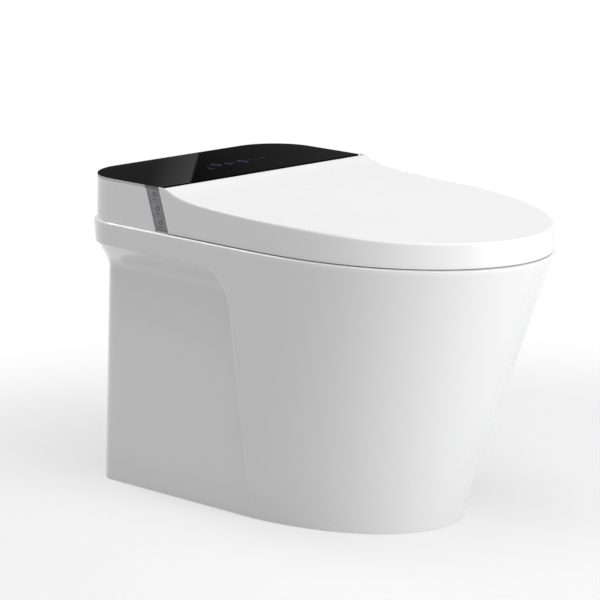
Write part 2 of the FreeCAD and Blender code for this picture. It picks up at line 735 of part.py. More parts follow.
def bracket():
    ears = []
    for name, low in (("inner", size.cowl_top), ("outer", plate_top())):
        x0, x1 = EAR_SPANS[name]
        y = size.hinge_y
        post = side_prism([(y - 9, low), (y + 6, low), (y + 6, size.hinge_z - 5),
                           (y + 5, size.hinge_z), (y - 5, size.hinge_z), (y - 6, size.hinge_z - 5)], x0, x1)
        ears += [post, cylinder_shape(size.knuckle_radius, hinge_point(x0), hinge_point(x1))]
    bar = box_shape(EAR_SPANS["inner"][0], EAR_SPANS["outer"][1], size.hinge_y - 9, size.hinge_y + 6,
                    size.cowl_top, size.cowl_top + 3)
    bore = cylinder_shape(size.shaft_radius, hinge_point(90), hinge_point(180))
    return bar.fuse(ears).cut(bore)


solid("hinge_brackets", both_sides(bracket()))
shaft_ends = hinge_point(100), hinge_point(EAR_SPANS["outer"][1] + 3)
solid("hinge_shafts", both_sides(cylinder_shape(size.shaft_radius, *shaft_ends)))


def damper():
    case = cylinder_shape(size.knuckle_radius - 0.3, hinge_point(62), hinge_point(104))
    end = cylinder_shape(5, hinge_point(57), hinge_point(62))
    foot = box_shape(70, 96, size.hinge_y - 6, size.hinge_y + 6, size.cowl_top, size.hinge_z)
    shaft_seat = cylinder_shape(size.shaft_radius, hinge_point(100), hinge_point(110))
    return case.fuse([end, foot]).cut(shaft_seat)


solid("hinge_dampers", both_sides(damper()))


# ---------------------------------------------------------------- seat


def top_block(points, crown, lower, half, steps=4):
    """Everything under a curved top: a side profile swept across the width.

    The middle is raised by crown, which fades out towards the hinge.
    """
    sections = []
    for i in range(steps + 1):
        across = -1 + 2 * i / steps
        row = []
        for y, z in points:
            fade = min(max((size.seam_foot_y - y) / 100, 0), 1)
            row.append(Vector(across * half, y, z - lower + crown * fade * (1 - across * across)))
        top = Part.BSplineCurve()
        top.interpolate(row)
        start, end = row[0], row[-1]
        y0, y1 = start.y, end.y
        low_start, low_end = Vector(start.x, y0, 300), Vector(end.x, y1, 300)
        sections.append(Part.Wire([
            top.toShape(), Part.makeLine(end, low_end),
            Part.makeLine(low_end, low_start), Part.makeLine(low_start, start),
        ]))
    return loft(sections, ruled=False)


SEAT_TOP = [(140, 423.5), (100, 422.5), (62, 418.5), (22, 410),
            (-30, 406.5), (-140, 406), (-240, 405.5), (-350, 403)]  # side view of the seat's top, y and z


def seat_plan(inset, z0, z1):
    """The seat ring drawn up from z0 to z1, with its outside and its hole pulled in by inset."""
    rim = outline(size.seat_half - inset, size.seat_half - inset, size.rim_bend_y, size.seat_nose_y + inset,
                  size.seat_rear_y - inset, 24, z0)
    hole = ellipse(size.hole_half + inset, size.hole_half_length + inset, size.hole_middle_y, z0)
    ring = Part.Face(rim).cut(Part.Face(hole))
    return ring.extrude(Vector(0, 0, z1 - z0))


def cowl_room():
    """The room that the seat leaves round the cowl."""
    half = size.cowl_half + 3
    return box_shape(-half, half, size.cowl_front_y - 4, 160, 370, size.cowl_top + 2)


def seat_arm():
    x0, x1 = EAR_SPANS["seat"]
    arm = side_prism([(92, 412), (117, 411.5), (143, 425.5), (133, 437), (110, 422.8), (92, 421.5)], x0, x1)
    knuckle = cylinder_shape(size.knuckle_radius, hinge_point(x0), hinge_point(x1))
    return arm.fuse(knuckle)


def seat_top():
    ring = seat_plan(0, size.seat_bottom + 3, 440).common(top_block(SEAT_TOP, 0, 0, 215))
    upper = edges_at(ring, lambda e: e.BoundBox.ZMin > size.seat_bottom + 8
                     and e.BoundBox.YMax < size.seat_rear_y - 20)
    ring = ring.makeFillet(6, upper)
    channel = seat_plan(size.seat_skin, size.seat_bottom, 440)
    channel = channel.common(top_block(SEAT_TOP, 0, size.seat_skin, 215))
    channel = channel.cut(box_shape(-230, 230, 36, 200, 300, 500))
    arm = seat_arm()
    bore = cylinder_shape(size.shaft_radius + size.shaft_play, hinge_point(-180), hinge_point(180))
    return ring.cut([channel, cowl_room()]).fuse([arm, mirrored(arm)]).cut(bore)


solid("seat_top", seat_top())
solid("seat_base", seat_plan(0, size.seat_bottom, size.seat_bottom + 3).cut(cowl_room()))


def seat_heater():
    under = top_block(SEAT_TOP, 0, size.seat_skin + 0.05, 215)
    below = top_block(SEAT_TOP, 0, size.seat_skin + 0.85, 216)
    mat = seat_plan(size.seat_skin + 12, size.seat_bottom, 440).common(under).cut(below)
    return mat.cut(box_shape(-230, 230, 30, 200, 300, 500))


solid("seat_heater", seat_heater())

SEAT_BUMPERS = [(-150, 20), (150, 20), (-120, -220), (120, -220)]
bumper_rods = [
    rod("SeatBumper%d" % i, 9, "seat_bottom - rim_height - 0.2", (x, y, "rim_height + 0.2"))
    for i, (x, y) in enumerate(SEAT_BUMPERS)
]
seat_bumpers = doc.addObject("Part::Compound", "SeatBumperSet")
seat_bumpers.Links = bumper_rods
keep(seat_bumpers, "seat_bumpers")


# ---------------------------------------------------------------- lid

LID_TOP = [(190, 447.5), (155, 446.6), (142, 446), (130, 440.6), (104, 434.6), (60, 430.4), (0, 427.6),
           (-80, 425.2), (-160, 421.6), (-240, 416.8), (-350, 413.3)]


def lid_outer(inset=0, bottom=None):
    """The lid's outside, pulled in by inset; its side leans in and its rear edge is rolled."""
    bottom = bottom or size.lid_bottom
    half, lean, top_z = size.overall_width / 2, size.lid_draft, size.overall_height + 6
    nose = -size.overall_length / 2
    lower = outline(half - inset, half - inset, size.rim_bend_y, nose + inset, 200, 10, bottom)
    top_half, top_nose = half - lean - inset, nose + lean * 0.6 + inset
    upper = outline(top_half, top_half, size.rim_bend_y, top_nose, 200, 10, top_z)
    body = loft([lower, upper]).common(top_block(LID_TOP, size.lid_crown, inset, 215))
    body = body.cut(slanted(-inset, 100, 300, 470, -240, 240))
    crest = edges_at(body, lambda e: e.BoundBox.YMin > seam_y(size.overall_height) - 12
                     and e.BoundBox.XMax - e.BoundBox.XMin > 300 and e.BoundBox.ZMin > 440 - inset)
    return body.makeFillet(size.lid_rear_round - inset, crest)


def lid_ear(lid_solid):
    x0, x1 = EAR_SPANS["lid"]
    reach = size.knuckle_radius
    web = box_shape(x0, x1, size.hinge_y - reach, size.hinge_y + reach, size.hinge_z, 460)
    knuckle = cylinder_shape(reach, hinge_point(x0), hinge_point(x1))
    return web.common(lid_solid).fuse(knuckle)


def lid_shell():
    outer = lid_outer()
    hollow = lid_outer(size.lid_skin, size.lid_bottom - 2)
    wall = -size.lid_skin - 0.6
    rear_gap = side_prism([
        (seam_y(380, wall), 380), (seam_y(432, wall), 432), (151.5, 436.5), (149.7, 439.5), (146.8, 441.8),
        (200, 441.8), (200, 380),
    ], -193.2, 193.2)
    shell = outer.cut(hollow).cut(rear_gap)
    ear = lid_ear(outer)
    bore = cylinder_shape(size.shaft_radius + size.shaft_play, hinge_point(-180), hinge_point(180))
    return shell.fuse([ear, mirrored(ear)]).cut(bore)


solid("lid_shell", lid_shell())


def lid_liner():
    """The flat inner panel that stiffens the lid."""
    half, nose = size.overall_width / 2 - 12, -size.overall_length / 2 + 12
    plan = Part.Face(outline(half, half, size.rim_bend_y, nose, 104, 30, 380)).extrude(Vector(0, 0, 80))
    upper = top_block(LID_TOP, size.lid_crown, size.lid_skin + 0.05, 215)
    lower = top_block(LID_TOP, size.lid_crown, size.lid_skin + 2.4, 216)
    return plan.common(upper).cut(lower)


solid("lid_liner", lid_liner())


def lid_bumpers():
    pads = []
    below = top_block(LID_TOP, size.lid_crown, size.lid_skin + 2.4, 215)
    for x, y, seat_z in ((160, 0, 408.4), (105, -240, 405.8)):
        pad = cylinder_shape(7, Vector(x, y, seat_z), Vector(x, y, 460)).common(below)
        pads += [pad, mirrored(pad)]
    return Part.makeCompound(pads)


solid("lid_bumpers", lid_bumpers())


# ---------------------------------------------------------------- wash wands and their drive

WANDS = (("front_wand", -1), ("rear_wand", 1))


def wand_up():
    slope = math.radians(size.wand_slope)
    return Vector(0, -math.sin(slope), math.cos(slope))


def rack(side):
    """A bar with straight-sided teeth along the wand's outer side."""
    module = size.rack_module
    pitch = math.pi * module
    first = size.pinion_station - 1.5 * pitch
    root = RACK_PITCH_LINE - 1.25 * module
    tip = RACK_PITCH_LINE + 0.9 * module
    root_half, tip_half = 1.05 * module, 0.38 * module
    points = [(6, first), (root, first)]
    for i in range(int(size.rack_teeth)):
        middle = first + (i + 1) * pitch
        points += [(root, middle - root_half), (tip, middle - tip_half),
                   (tip, middle + tip_half), (root, middle + root_half)]
    last = first + (size.rack_teeth + 1) * pitch
    points += [(root, last), (6, last)]
    loop = [Vector(side * (size.wand_side + x), s, -3) for x, s in points]
    bar = Part.Face(Part.makePolygon(loop + loop[:1])).extrude(Vector(0, 0, 6))
    bar.rotate(Vector(), X_AXIS, size.wand_slope)
    bar.translate(Vector(0, size.wand_tip_y, size.wand_tip_z))
    return bar


def wand_tube(side):
    tube = cylinder_shape(size.wand_radius - 0.4, along_wand(side, size.wand_tip_length),
                          along_wand(side, size.wand_length))
    return tube.fuse(rack(side))


def wand_tip(side, jets):
    tip = cylinder_shape(size.wand_radius, along_wand(side, 0), along_wand(side, size.wand_tip_length))
    tip = tip.makeChamfer(3, edges_at(tip, lambda e: e.BoundBox.YMax < along_wand(side, 3).y + 2))
    holes = [cylinder_shape(0.9, along_wand(side, s, 4, x), along_wand(side, s, 9, x)) for s, x in jets]
    return tip.cut(holes)


def pinion(side):
    """Twelve straight-flanked teeth round a bored hub; one tooth points into the rack's gap."""
    module, count = size.rack_module, int(size.pinion_teeth)
    radius = module * count / 2
    tip, root = radius + 0.9 * module, radius - 1.2 * module
    toward = math.pi if side > 0 else 0
    flank = ((root, 0.215), (radius, 0.105), (tip, 0.045))  # half of a tooth: reach and half angle
    tooth = flank + tuple((reach, -half_angle) for reach, half_angle in reversed(flank))
    points = []
    for i in range(count):
        turn = toward + 2 * math.pi * i / count
        for reach, half_angle in tooth:
            angle = turn - half_angle
            points.append(Vector(reach * math.cos(angle), reach * math.sin(angle), -2.5))
    gear = Part.Face(Part.makePolygon(points + points[:1])).extrude(Vector(0, 0, 5))
    gear = gear.cut(Part.makeCylinder(1.55, 10, Vector(0, 0, -5)))
    gear.rotate(Vector(), X_AXIS, size.wand_slope)
    gear.translate(pinion_centre(side))
    return gear


def pinion_centre(side):
    pitch_radius, play = size.rack_module * size.pinion_teeth / 2, 0.1
    return along_wand(side, size.pinion_station, 0, RACK_PITCH_LINE + pitch_radius + play)


def wand_motor(side):
    centre, up = pinion_centre(side), wand_up()
    case = cylinder_shape(10, centre + up * 3.2, centre + up * 17)
    shaft = cylinder_shape(1.5, centre - up * 3, centre + up * 4)
    x0, x1 = sorted((side * 25, side * 44))
    tab = wand_box(x0, x1, size.pinion_station + 4, size.pinion_station + 18, 9.6, 11.4)
    return case.fuse([shaft, tab])


def wand_guide():
    body = wand_box(-30, 30, 27.6, 66, -9.4, 9.6)
    bore_radius = size.wand_radius - 0.4 + size.wand_play
    rooms = []
    for side in (-1, 1):
        x0, x1 = sorted((side * (size.wand_side + 4), side * 40))
        rooms.append(cylinder_shape(bore_radius, along_wand(side, 10), along_wand(side, 80)))
        rooms.append(wand_box(x0, x1, 20, 80, -3.5, 3.5))
    foot = box_shape(-26, 26, 84, 112, size.notch_floor, 378)
    return body.fuse(foot).cut(rooms)


JETS = {  # each jet's distance from the tip and its place across the wand
    "rear_wand": [(6, -1.6), (6, 1.6), (9, 0)],
    "front_wand": [(6, -2.4), (6, 0), (6, 2.4), (9, -1.2), (9, 1.2)],
}
solid("wand_guide", wand_guide())
for wand_name, side in WANDS:
    solid(wand_name, wand_tube(side))
    solid(wand_name + "_tip", wand_tip(side, JETS[wand_name]))
    solid(wand_name + "_pinion", pinion(side))
    solid(wand_name + "_motor", wand_motor(side))


# ---------------------------------------------------------------- water

heater = plate_body("water_heater", (-160, 180), (110, 60), PLATE_TOP, 42, 9)
keep(heater, "water_heater")


def hose(start, end, outer, inner):
    return cylinder_shape(outer, start, end).cut(cylinder_shape(inner, start, end))


hose_x, hose_y = size.hose_hole_x, size.hose_hole_y
solid("inlet_hose", hose(Vector(hose_x, hose_y, 344), Vector(hose_x, hose_y, plate_top()), 7, 4.5))

SELECTOR = Vector(-19, 212, 0)
selector = join(
    "SelectorParts",
    rod("SelectorCase", 15, 24, (SELECTOR.x, SELECTOR.y, PLATE_TOP)),
    rod("SelectorMotor", 11, 12, (SELECTOR.x, SELECTOR.y, PLATE_TOP + " + 24")),
)
keep(selector, "flow_selector")
selector_room = cylinder_shape(15, SELECTOR + Z_AXIS * 380, SELECTOR + Z_AXIS * 425)
heater_hose = hose(Vector(-50, SELECTOR.y, 402), Vector(-30, SELECTOR.y, 402), 6, 4)
solid("heater_hose", heater_hose.cut(selector_room))


def fill_valve():
    body = box_shape(-84, -36, hose_y - 22, hose_y + 22, 306, 338)
    body = body.makeFillet(5, edges_at(body, lambda e: e.BoundBox.ZMax - e.BoundBox.ZMin > 20))
    neck = cylinder_shape(10, Vector(hose_x, hose_y, 336), Vector(hose_x, hose_y, 344))
    flange = box_shape(-98, -22, hose_y + 12, hose_y + 26, 336, size.bay_roof)
    return body.fuse([neck, flange])


solid("fill_valve", fill_valve())


def inlet_fitting():
    base = Vector(hose_x, hose_y, 306)
    corner = Vector(15, 0, 0)
    hexagon = [base + Rotation(Z_AXIS, 60 * i).multVec(corner) for i in range(7)]
    collar = Part.Face(Part.makePolygon(hexagon)).extrude(Vector(0, 0, -8))
    stub = cylinder_shape(size.inlet_radius, base, base - Z_AXIS * 24)
    bore = cylinder_shape(6, base + Z_AXIS, base - Z_AXIS * 30)
    return collar.fuse(stub).cut(bore)


solid("inlet_fitting", inlet_fitting())

coils = []
for i, x in enumerate((-72, -48)):
    case = rod("CoilCase%d" % i, 10, 26, (x, "hose_hole_y + 22", 321), Y_AXIS)
    nut = rod("CoilNut%d" % i, 5, 30, (x, "hose_hole_y + 22", 321), Y_AXIS)
    coils.append(join("Coil%d" % i, case, nut))
coil_set = doc.addObject("Part::Compound", "CoilSet")
coil_set.Links = coils
keep(coil_set, "valve_coils")

solid("flush_hose", hose(Vector(*FLUSH_PORT) + Y_AXIS * (hose_y - 22 - FLUSH_PORT[1]),
                         Vector(*FLUSH_PORT) - Y_AXIS * 20, 9, 6.5))


# ---------------------------------------------------------------- warm air


def fan_housing():
    x, y, low = size.fan_x, size.fan_y, plate_top()
    drum = cylinder_shape(32, Vector(x, y, low), Vector(x, y, low + 28))
    throat = box_shape(DUCT_X[0], DUCT_X[1], 207, y + 6, low + 2, 405.5)
    chamber = cylinder_shape(29.5, Vector(x, y, low + 2), Vector(x, y, low + 26))
    passage = box_shape(DUCT_X[0] + 1.5, DUCT_X[1] - 1.5, 206, y + 4, low + 3.5, 404)
    eye = cylinder_shape(3.2, Vector(x, y, low + 25), Vector(x, y, low + 30))
    return drum.fuse(throat).cut([chamber, passage, eye])


solid("fan_housing", fan_housing())


def impeller():
    x, y, low = size.fan_x, size.fan_y, plate_top() + 3
    tall, reach = size.impeller_height, size.impeller_radius
    disc = cylinder_shape(reach, Vector(x, y, low), Vector(x, y, low + 1.5))
    hub = cylinder_shape(6, Vector(x, y, low), Vector(x, y, low + tall - 2))
    ring = cylinder_shape(reach, Vector(x, y, low + tall - 1.5), Vector(x, y, low + tall))
    ring = ring.cut(cylinder_shape(reach - 6, Vector(x, y, low), Vector(x, y, low + tall + 1)))
    blades = []
    for i in range(16):
        blade = box_shape(reach - 6.5, reach - 0.4, -0.6, 0.6, 0, tall - 0.5)
        blade.rotate(Vector(reach - 3, 0, 0), Z_AXIS, 35)
        blade.rotate(Vector(), Z_AXIS, 360 / 16 * i)
        blade.translate(Vector(x, y, low + 0.5))
        blades.append(blade)
    rim_guard = cylinder_shape(reach, Vector(x, y, low), Vector(x, y, low + tall))
    bore = cylinder_shape(2.06, Vector(x, y, low - 1), Vector(x, y, low + tall + 1))
    return disc.fuse([hub, ring] + [blade.common(rim_guard) for blade in blades]).cut(bore)


solid("fan_impeller", impeller())


def fan_motor():
    x, y, low = size.fan_x, size.fan_y, plate_top()
    case = cylinder_shape(14, Vector(x, y, low + 28), Vector(x, y, low + 42))
    shaft = cylinder_shape(2, Vector(x, y, low + 5), Vector(x, y, low + 30))
    return case.fuse(shaft)


solid("fan_motor", fan_motor())
solid("air_duct", duct_profile(0).cut(duct_profile(1.5)))


def air_flap():
    y, z = FLAP_PIVOT
    leaf = box_shape(DUCT_X[0] + 1, DUCT_X[1] - 1, y - 0.8, y + 0.8, z - 13.5, z)
    pin = cylinder_shape(1.4, Vector(DUCT_X[0] - 1.4, y, z), Vector(DUCT_X[1] + 1.4, y, z))
    return leaf.fuse(pin)


solid("air_flap", air_flap())


# ---------------------------------------------------------------- electronics


def board(label, corner, extent, lift, parts):
    """A circuit board on four posts, with blocks for its parts."""
    (x, y), (length, width), base = corner, extent, plate_top()
    sheet_z = base + lift
    shapes = [box_shape(px - 3, px + 3, py - 3, py + 3, base, sheet_z + 0.4)
              for px in (x + 5, x + length - 5) for py in (y + 5, y + width - 5)]
    shapes += [box_shape(x + px, x + px + lx, y + py, y + py + ly, sheet_z + 1, sheet_z + 1.6 + tall)
               for px, py, lx, ly, tall in parts]
    return solid(label, box_shape(x, x + length, y, y + width, sheet_z, sheet_z + 1.6).fuse(shapes))


MAIN_PARTS = [(12, 8, 16, 16, 2), (40, 6, 22, 20, 9), (72, 10, 12, 12, 1.5),
              (92, 6, 14, 28, 12), (112, 8, 10, 24, 7)]  # each part's place, size and height
board("main_board", (-125, 276), (130, 44), 4, MAIN_PARTS)
solid("key_board", key_board())

supply = plate_body("power_supply", (14, 278), (86, 38), PLATE_TOP, 32, 3)
keep(supply, "power_supply")


def cord_gland():
    x, z = size.gland_x, size.gland_z
    flange = cylinder_shape(9, Vector(x, GLAND_FACE_Y, z), Vector(x, 335, z))
    barrel = cylinder_shape(6.4, Vector(x, 322, z), Vector(x, 334, z))
    nut = cylinder_shape(9, Vector(x, 325, z), Vector(x, 329.6, z))
    bore = cylinder_shape(size.gland_radius, Vector(x, 315, z), Vector(x, 336, z))
    return flange.fuse([barrel, nut]).cut(bore)


solid("cord_gland", cord_gland())


# ---------------------------------------------------------------- check and export

doc.recompute()
for item in doc.Objects:
    if "Invalid" in item.State or "Error" in item.State:
        raise RuntimeError("%s did not build: %s" % (item.Label, item.State))
os.makedirs("parts", exist_ok=True)
for item in nodes:
    shape = item.Shape
    if shape.isNull() or not shape.isValid():
        raise RuntimeError("%s has no valid shape" % item.Label)
    if not shape.Solids:
        raise RuntimeError("%s has no solid" % item.Label)
    shape.exportStep("parts/%s.step" % item.Label)
print("%d nodes" % len(nodes))
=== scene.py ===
import json
import math

import bpy
from mathutils import Matrix, Vector


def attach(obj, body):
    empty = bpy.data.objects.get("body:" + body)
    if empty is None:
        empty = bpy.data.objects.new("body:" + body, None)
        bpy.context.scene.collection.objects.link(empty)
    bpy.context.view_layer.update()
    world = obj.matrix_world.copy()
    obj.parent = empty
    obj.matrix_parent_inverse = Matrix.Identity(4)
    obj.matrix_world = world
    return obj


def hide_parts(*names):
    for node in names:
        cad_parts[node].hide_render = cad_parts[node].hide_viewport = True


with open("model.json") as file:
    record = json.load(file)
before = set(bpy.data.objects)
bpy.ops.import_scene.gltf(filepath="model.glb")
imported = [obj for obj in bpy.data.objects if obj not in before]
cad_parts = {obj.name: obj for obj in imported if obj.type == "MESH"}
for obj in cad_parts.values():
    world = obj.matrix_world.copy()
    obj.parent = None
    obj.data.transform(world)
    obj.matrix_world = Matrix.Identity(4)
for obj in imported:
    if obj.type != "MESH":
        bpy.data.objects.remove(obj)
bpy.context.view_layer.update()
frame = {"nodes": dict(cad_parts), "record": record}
bpy.ops.object.select_all(action="DESELECT")

# lengths of pieces are in millimetres, in the frame of the part, and become metres in finishPiece
mm = 0.001
# points this close to a height count as on it
touch = 0.01


def mix(a, b, share):
    return a + (b - a) * share


def ease(share):
    share = min(max(share, 0), 1)
    return share * share * (3 - 2 * share)


def alongPoints(points, where):
    # a smooth curve through (place, value) pairs that come in rising order
    last = len(points) - 1
    if where <= points[0][0]:
        return points[0][1]
    if where >= points[last][0]:
        return points[last][1]
    i = next(k for k in range(last) if where <= points[k + 1][0])
    (x0, y0), (x1, y1) = points[i], points[i + 1]
    before, after = points[max(i - 1, 0)], points[min(i + 2, last)]
    slope0 = (y1 - before[1]) / (x1 - before[0])
    slope1 = (after[1] - y0) / (after[0] - x0)
    t, width = (where - x0) / (x1 - x0), x1 - x0
    return ((2 * t ** 3 - 3 * t ** 2 + 1) * y0 + (t ** 3 - 2 * t ** 2 + t) * width * slope0
            + (3 * t ** 2 - 2 * t ** 3) * y1 + (t ** 3 - t ** 2) * width * slope1)


def editMode(piece, mode="EDIT"):
    bpy.ops.object.select_all(action="DESELECT")
    bpy.context.view_layer.objects.active = piece
    piece.select_set(True)
    bpy.ops.object.mode_set(mode=mode)


def gridPatch(name, columns, rows, place):
    # a plain grid whose points are then put in their places: place(column, row) gives millimetres
    bpy.ops.mesh.primitive_grid_add(x_subdivisions=columns - 1, y_subdivisions=rows - 1, size=1)
    patch = bpy.context.object
    patch.name = name
    for row in range(rows):
        for column in range(columns):
            patch.data.vertices[row * columns + column].co = place(column, row)
    return patch


def mirrorCopy(patch):
    copy = patch.copy()
    copy.data = patch.data.copy()
    bpy.context.collection.objects.link(copy)
    copy.data.transform(Matrix.Scale(-1, 4, (1, 0, 0)))
    copy.data.flip_normals()
    return copy


def joinPatches(name, patches, gap=0.02):
    bpy.ops.object.select_all(action="DESELECT")
    for patch in patches:
        patch.select_set(True)
    bpy.context.view_layer.objects.active = patches[0]
    bpy.ops.object.join()
    piece = bpy.context.object
    piece.name = name
    editMode(piece)
    bpy.ops.mesh.select_all(action="SELECT")
    bpy.ops.mesh.remove_doubles(threshold=gap)
    bpy.ops.mesh.normals_make_consistent(inside=False)
    bpy.ops.object.mode_set(mode="OBJECT")
    return piece


def pick(piece, test):
    # selects, in edit mode, the points that pass the test
    bpy.ops.object.mode_set(mode="OBJECT")
    for part in (piece.data.polygons, piece.data.edges, piece.data.vertices):
        part.foreach_set("select", [False] * len(part))
    for vertex in piece.data.vertices:
        vertex.select = test(vertex.co)
    bpy.ops.object.mode_set(mode="EDIT")
    bpy.ops.mesh.select_mode(type="VERT")


def fillHole(piece, test):
    editMode(piece)
    pick(piece, test)
    bpy.ops.mesh.edge_face_add()
    bpy.ops.object.mode_set(mode="OBJECT")


def turnOutward(piece):
    editMode(piece)
    bpy.ops.mesh.select_all(action="SELECT")
    bpy.ops.mesh.normals_make_consistent(inside=False)
    bpy.ops.object.mode_set(mode="OBJECT")
    return piece


def carve(piece, cutter, operation="DIFFERENCE"):
    step = piece.modifiers.new("carve", "BOOLEAN")
    step.operation = operation
    step.object = cutter
    step.solver = "EXACT"
    editMode(piece, "OBJECT")
    bpy.ops.object.modifier_apply(modifier=step.name)
    bpy.data.objects.remove(cutter)
    return piece


def cylinderTool(radius, start, end, vertices=48):
    start, end = Vector(start), Vector(end)
    reach = end - start
    bpy.ops.mesh.primitive_cylinder_add(vertices=vertices, radius=radius, depth=reach.length)
    tool = bpy.context.object
    turn = reach.to_track_quat("Z", "Y").to_matrix().to_4x4()
    tool.data.transform(Matrix.Translation((start + end) / 2) @ turn)
    return tool


def boxTool(low, high):
    low, high = Vector(low), Vector(high)
    bpy.ops.mesh.primitive_cube_add(size=1)
    tool = bpy.context.object
    tool.data.transform(Matrix.Translation((low + high) / 2) @ Matrix.Diagonal((*(high - low), 1)))
    return tool


def roundEdges(piece, width, angle=35, segments=3):
    step = piece.modifiers.new("rounded", "BEVEL")
    step.width, step.segments, step.limit_method = width, segments, "ANGLE"
    step.angle_limit = math.radians(angle)
    step.use_clamp_overlap = True
    editMode(piece, "OBJECT")
    bpy.ops.object.modifier_apply(modifier=step.name)


def finishPiece(piece, finish, body, replaces=(), smoothAngle=40):
    piece.data.transform(Matrix.Scale(mm, 4))
    editMode(piece, "OBJECT")
    bpy.ops.object.shade_smooth_by_angle(angle=math.radians(smoothAngle))
    piece.data.materials.clear()
    piece.data.materials.append(finish)
    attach(piece, body)
    if replaces:
        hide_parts(*replaces)
    bpy.ops.object.select_all(action="DESELECT")
    return piece


# finishes, one for each material slot
def fillSockets(tree, node, values):
    # a value that is itself a socket is linked, any other is set
    for socket, value in values.items():
        if isinstance(value, bpy.types.NodeSocket):
            tree.links.new(value, node.inputs[socket])
        else:
            node.inputs[socket].default_value = value
    return node


def addNode(tree, kind, values=(), operation=None):
    node = tree.nodes.new("ShaderNode" + kind)
    if operation:
        node.operation = operation
    return fillSockets(tree, node, dict(values))


def mathOf(tree, operation, first, second):
    return addNode(tree, "Math", {0: first, 1: second}, operation).outputs[0]


def ranged(tree, value, start, end, low=0.0, high=1.0, smooth=False):
    # low up to start, high from end on
    node = addNode(tree, "MapRange", {"Value": value, "From Min": start, "From Max": end, "To Min": low,
                                      "To Max": high})
    if smooth:
        node.interpolation_type = "SMOOTHSTEP"
    return node.outputs["Result"]


def blendColour(tree, share, under, over):
    blend = addNode(tree, "Mix")
    blend.data_type = "RGBA"
    return fillSockets(tree, blend, {"Factor": share, "A": under, "B": over}).outputs["Result"]


def objectPlace(tree):
    place = next((node for node in tree.nodes if node.type == "TEX_COORD"), None) or addNode(tree, "TexCoord")
    return place.outputs["Object"]


# faint clouds in the gloss, and a grain whose depth is in metres
texture = {"mottleScale": 6, "mottleDetail": 3, "grainDetail": 2, "grainDepth": 0.0002}


def newFinish(name, colour, roughness=0.4, metallic=0.0, coat=0.0, coatRoughness=0.03, grain=0.0, grainScale=400,
              mottle=0.0):
    finish = bpy.data.materials.new(name)
    finish.use_nodes = True
    tree = finish.node_tree
    shader, place = tree.nodes["Principled BSDF"], objectPlace(tree)
    fillSockets(tree, shader, {"Base Color": (*colour, 1), "Roughness": roughness, "Metallic": metallic,
                               "Coat Weight": coat, "Coat Roughness": coatRoughness})
    if mottle:
        clouds = addNode(tree, "TexNoise", {"Vector": place, "Scale": texture["mottleScale"],
                                            "Detail": texture["mottleDetail"]})
        gloss = ranged(tree, clouds.outputs["Fac"], 0, 1, roughness - mottle, roughness + mottle)
        fillSockets(tree, shader, {"Roughness": gloss})
    if grain:
        speckle = addNode(tree, "TexNoise", {"Vector": place, "Scale": grainScale, "Detail": texture["grainDetail"]})
        bump = addNode(tree, "Bump", {"Height": speckle.outputs["Fac"], "Strength": grain,
                                      "Distance": texture["grainDepth"]})
        fillSockets(tree, shader, {"Normal": bump.outputs["Normal"]})
    return finish


finishes = {
    "vitreous_china": newFinish("glazedChina", (0.86, 0.86, 0.87), 0.3, coat=1.0, coatRoughness=0.04,
                                grain=0.12, grainScale=45, mottle=0.04),
    "white_shell": newFinish("glossWhiteShell", (0.88, 0.88, 0.885), 0.24, coat=0.5, coatRoughness=0.08,
                             grain=0.05, grainScale=900, mottle=0.03),
    "white_seat": newFinish("satinWhiteSeat", (0.86, 0.86, 0.865), 0.32, coat=0.2, coatRoughness=0.2,
                            grain=0.08, grainScale=900, mottle=0.03),
    "black_glass": newFinish("blackGlass", (0.004, 0.004, 0.005), 0.12),
    "grey_strip": newFinish("greyStrip", (0.25, 0.25, 0.26), 0.4, metallic=0.2, grain=0.1, grainScale=1500,
                            mottle=0.04),
    "nozzle_white": newFinish("nozzleWhite", (0.8, 0.8, 0.8), 0.3, grain=0.05, grainScale=1200, mottle=0.03),
    "nozzle_steel": newFinish("nozzleSteel", (0.62, 0.62, 0.63), 0.2, metallic=1.0, grain=0.1, grainScale=1600,
                              mottle=0.05),
    "inner_grey": newFinish("mouldedGrey", (0.32, 0.33, 0.34), 0.5, grain=0.4, grainScale=1100, mottle=0.06),
    "inner_black": newFinish("mouldedBlack", (0.025, 0.025, 0.027), 0.5, grain=0.4, grainScale=1100, mottle=0.06),
    "motor_steel": newFinish("motorSteel", (0.5, 0.5, 0.51), 0.32, metallic=1.0, grain=0.15, grainScale=1500,
                             mottle=0.08),
    "inlet_brass": newFinish("inletBrass", (0.72, 0.53, 0.24), 0.28, metallic=1.0, grain=0.15, grainScale=1300,
                             mottle=0.08),
    "board_green": newFinish("circuitBoard", (0.02, 0.13, 0.05), 0.45, coat=0.3, grain=0.3, grainScale=700,
                             mottle=0.08),
    "soft_rubber": newFinish("softRubber", (0.05, 0.05, 0.052), 0.75, grain=0.4, grainScale=900, mottle=0.06),
    "clear_rubber": newFinish("clearRubber", (0.72, 0.73, 0.74), 0.35, grain=0.1, grainScale=900, mottle=0.05),
    "heater_film": newFinish("heaterFilm", (0.55, 0.3, 0.1), 0.4, metallic=0.4, grain=0.2, grainScale=600,
                             mottle=0.06),
}

# places and widths in metres: a painted reflection, one slanted change of tone across the panel, and a pale edge
# that is a painted reflection on the polished side, which is darker beside the strip and ends at the panel's front
glassPaintedReflection = {
    "from": (0.041, 0.332), "toward": (-0.7006, 0.7137), "reach": 0.24, "coat": 0.012, "blue": 1.04,
    "stops": [(0.0, 0.022), (0.45, 0.004), (0.4985, 0.002), (0.5015, 0.055), (0.62, 0.014), (1.0, 0.012)],
    "edge": 0.7, "edgeLow": 0.4451, "edgeHigh": 0.4453, "stripEdge": 0.25, "stripEnd": 0.188, "stripBlur": 0.0004,
    "frontEdge": 0.005, "frontEnd": 0.1588, "frontBlur": 0.0003,
}
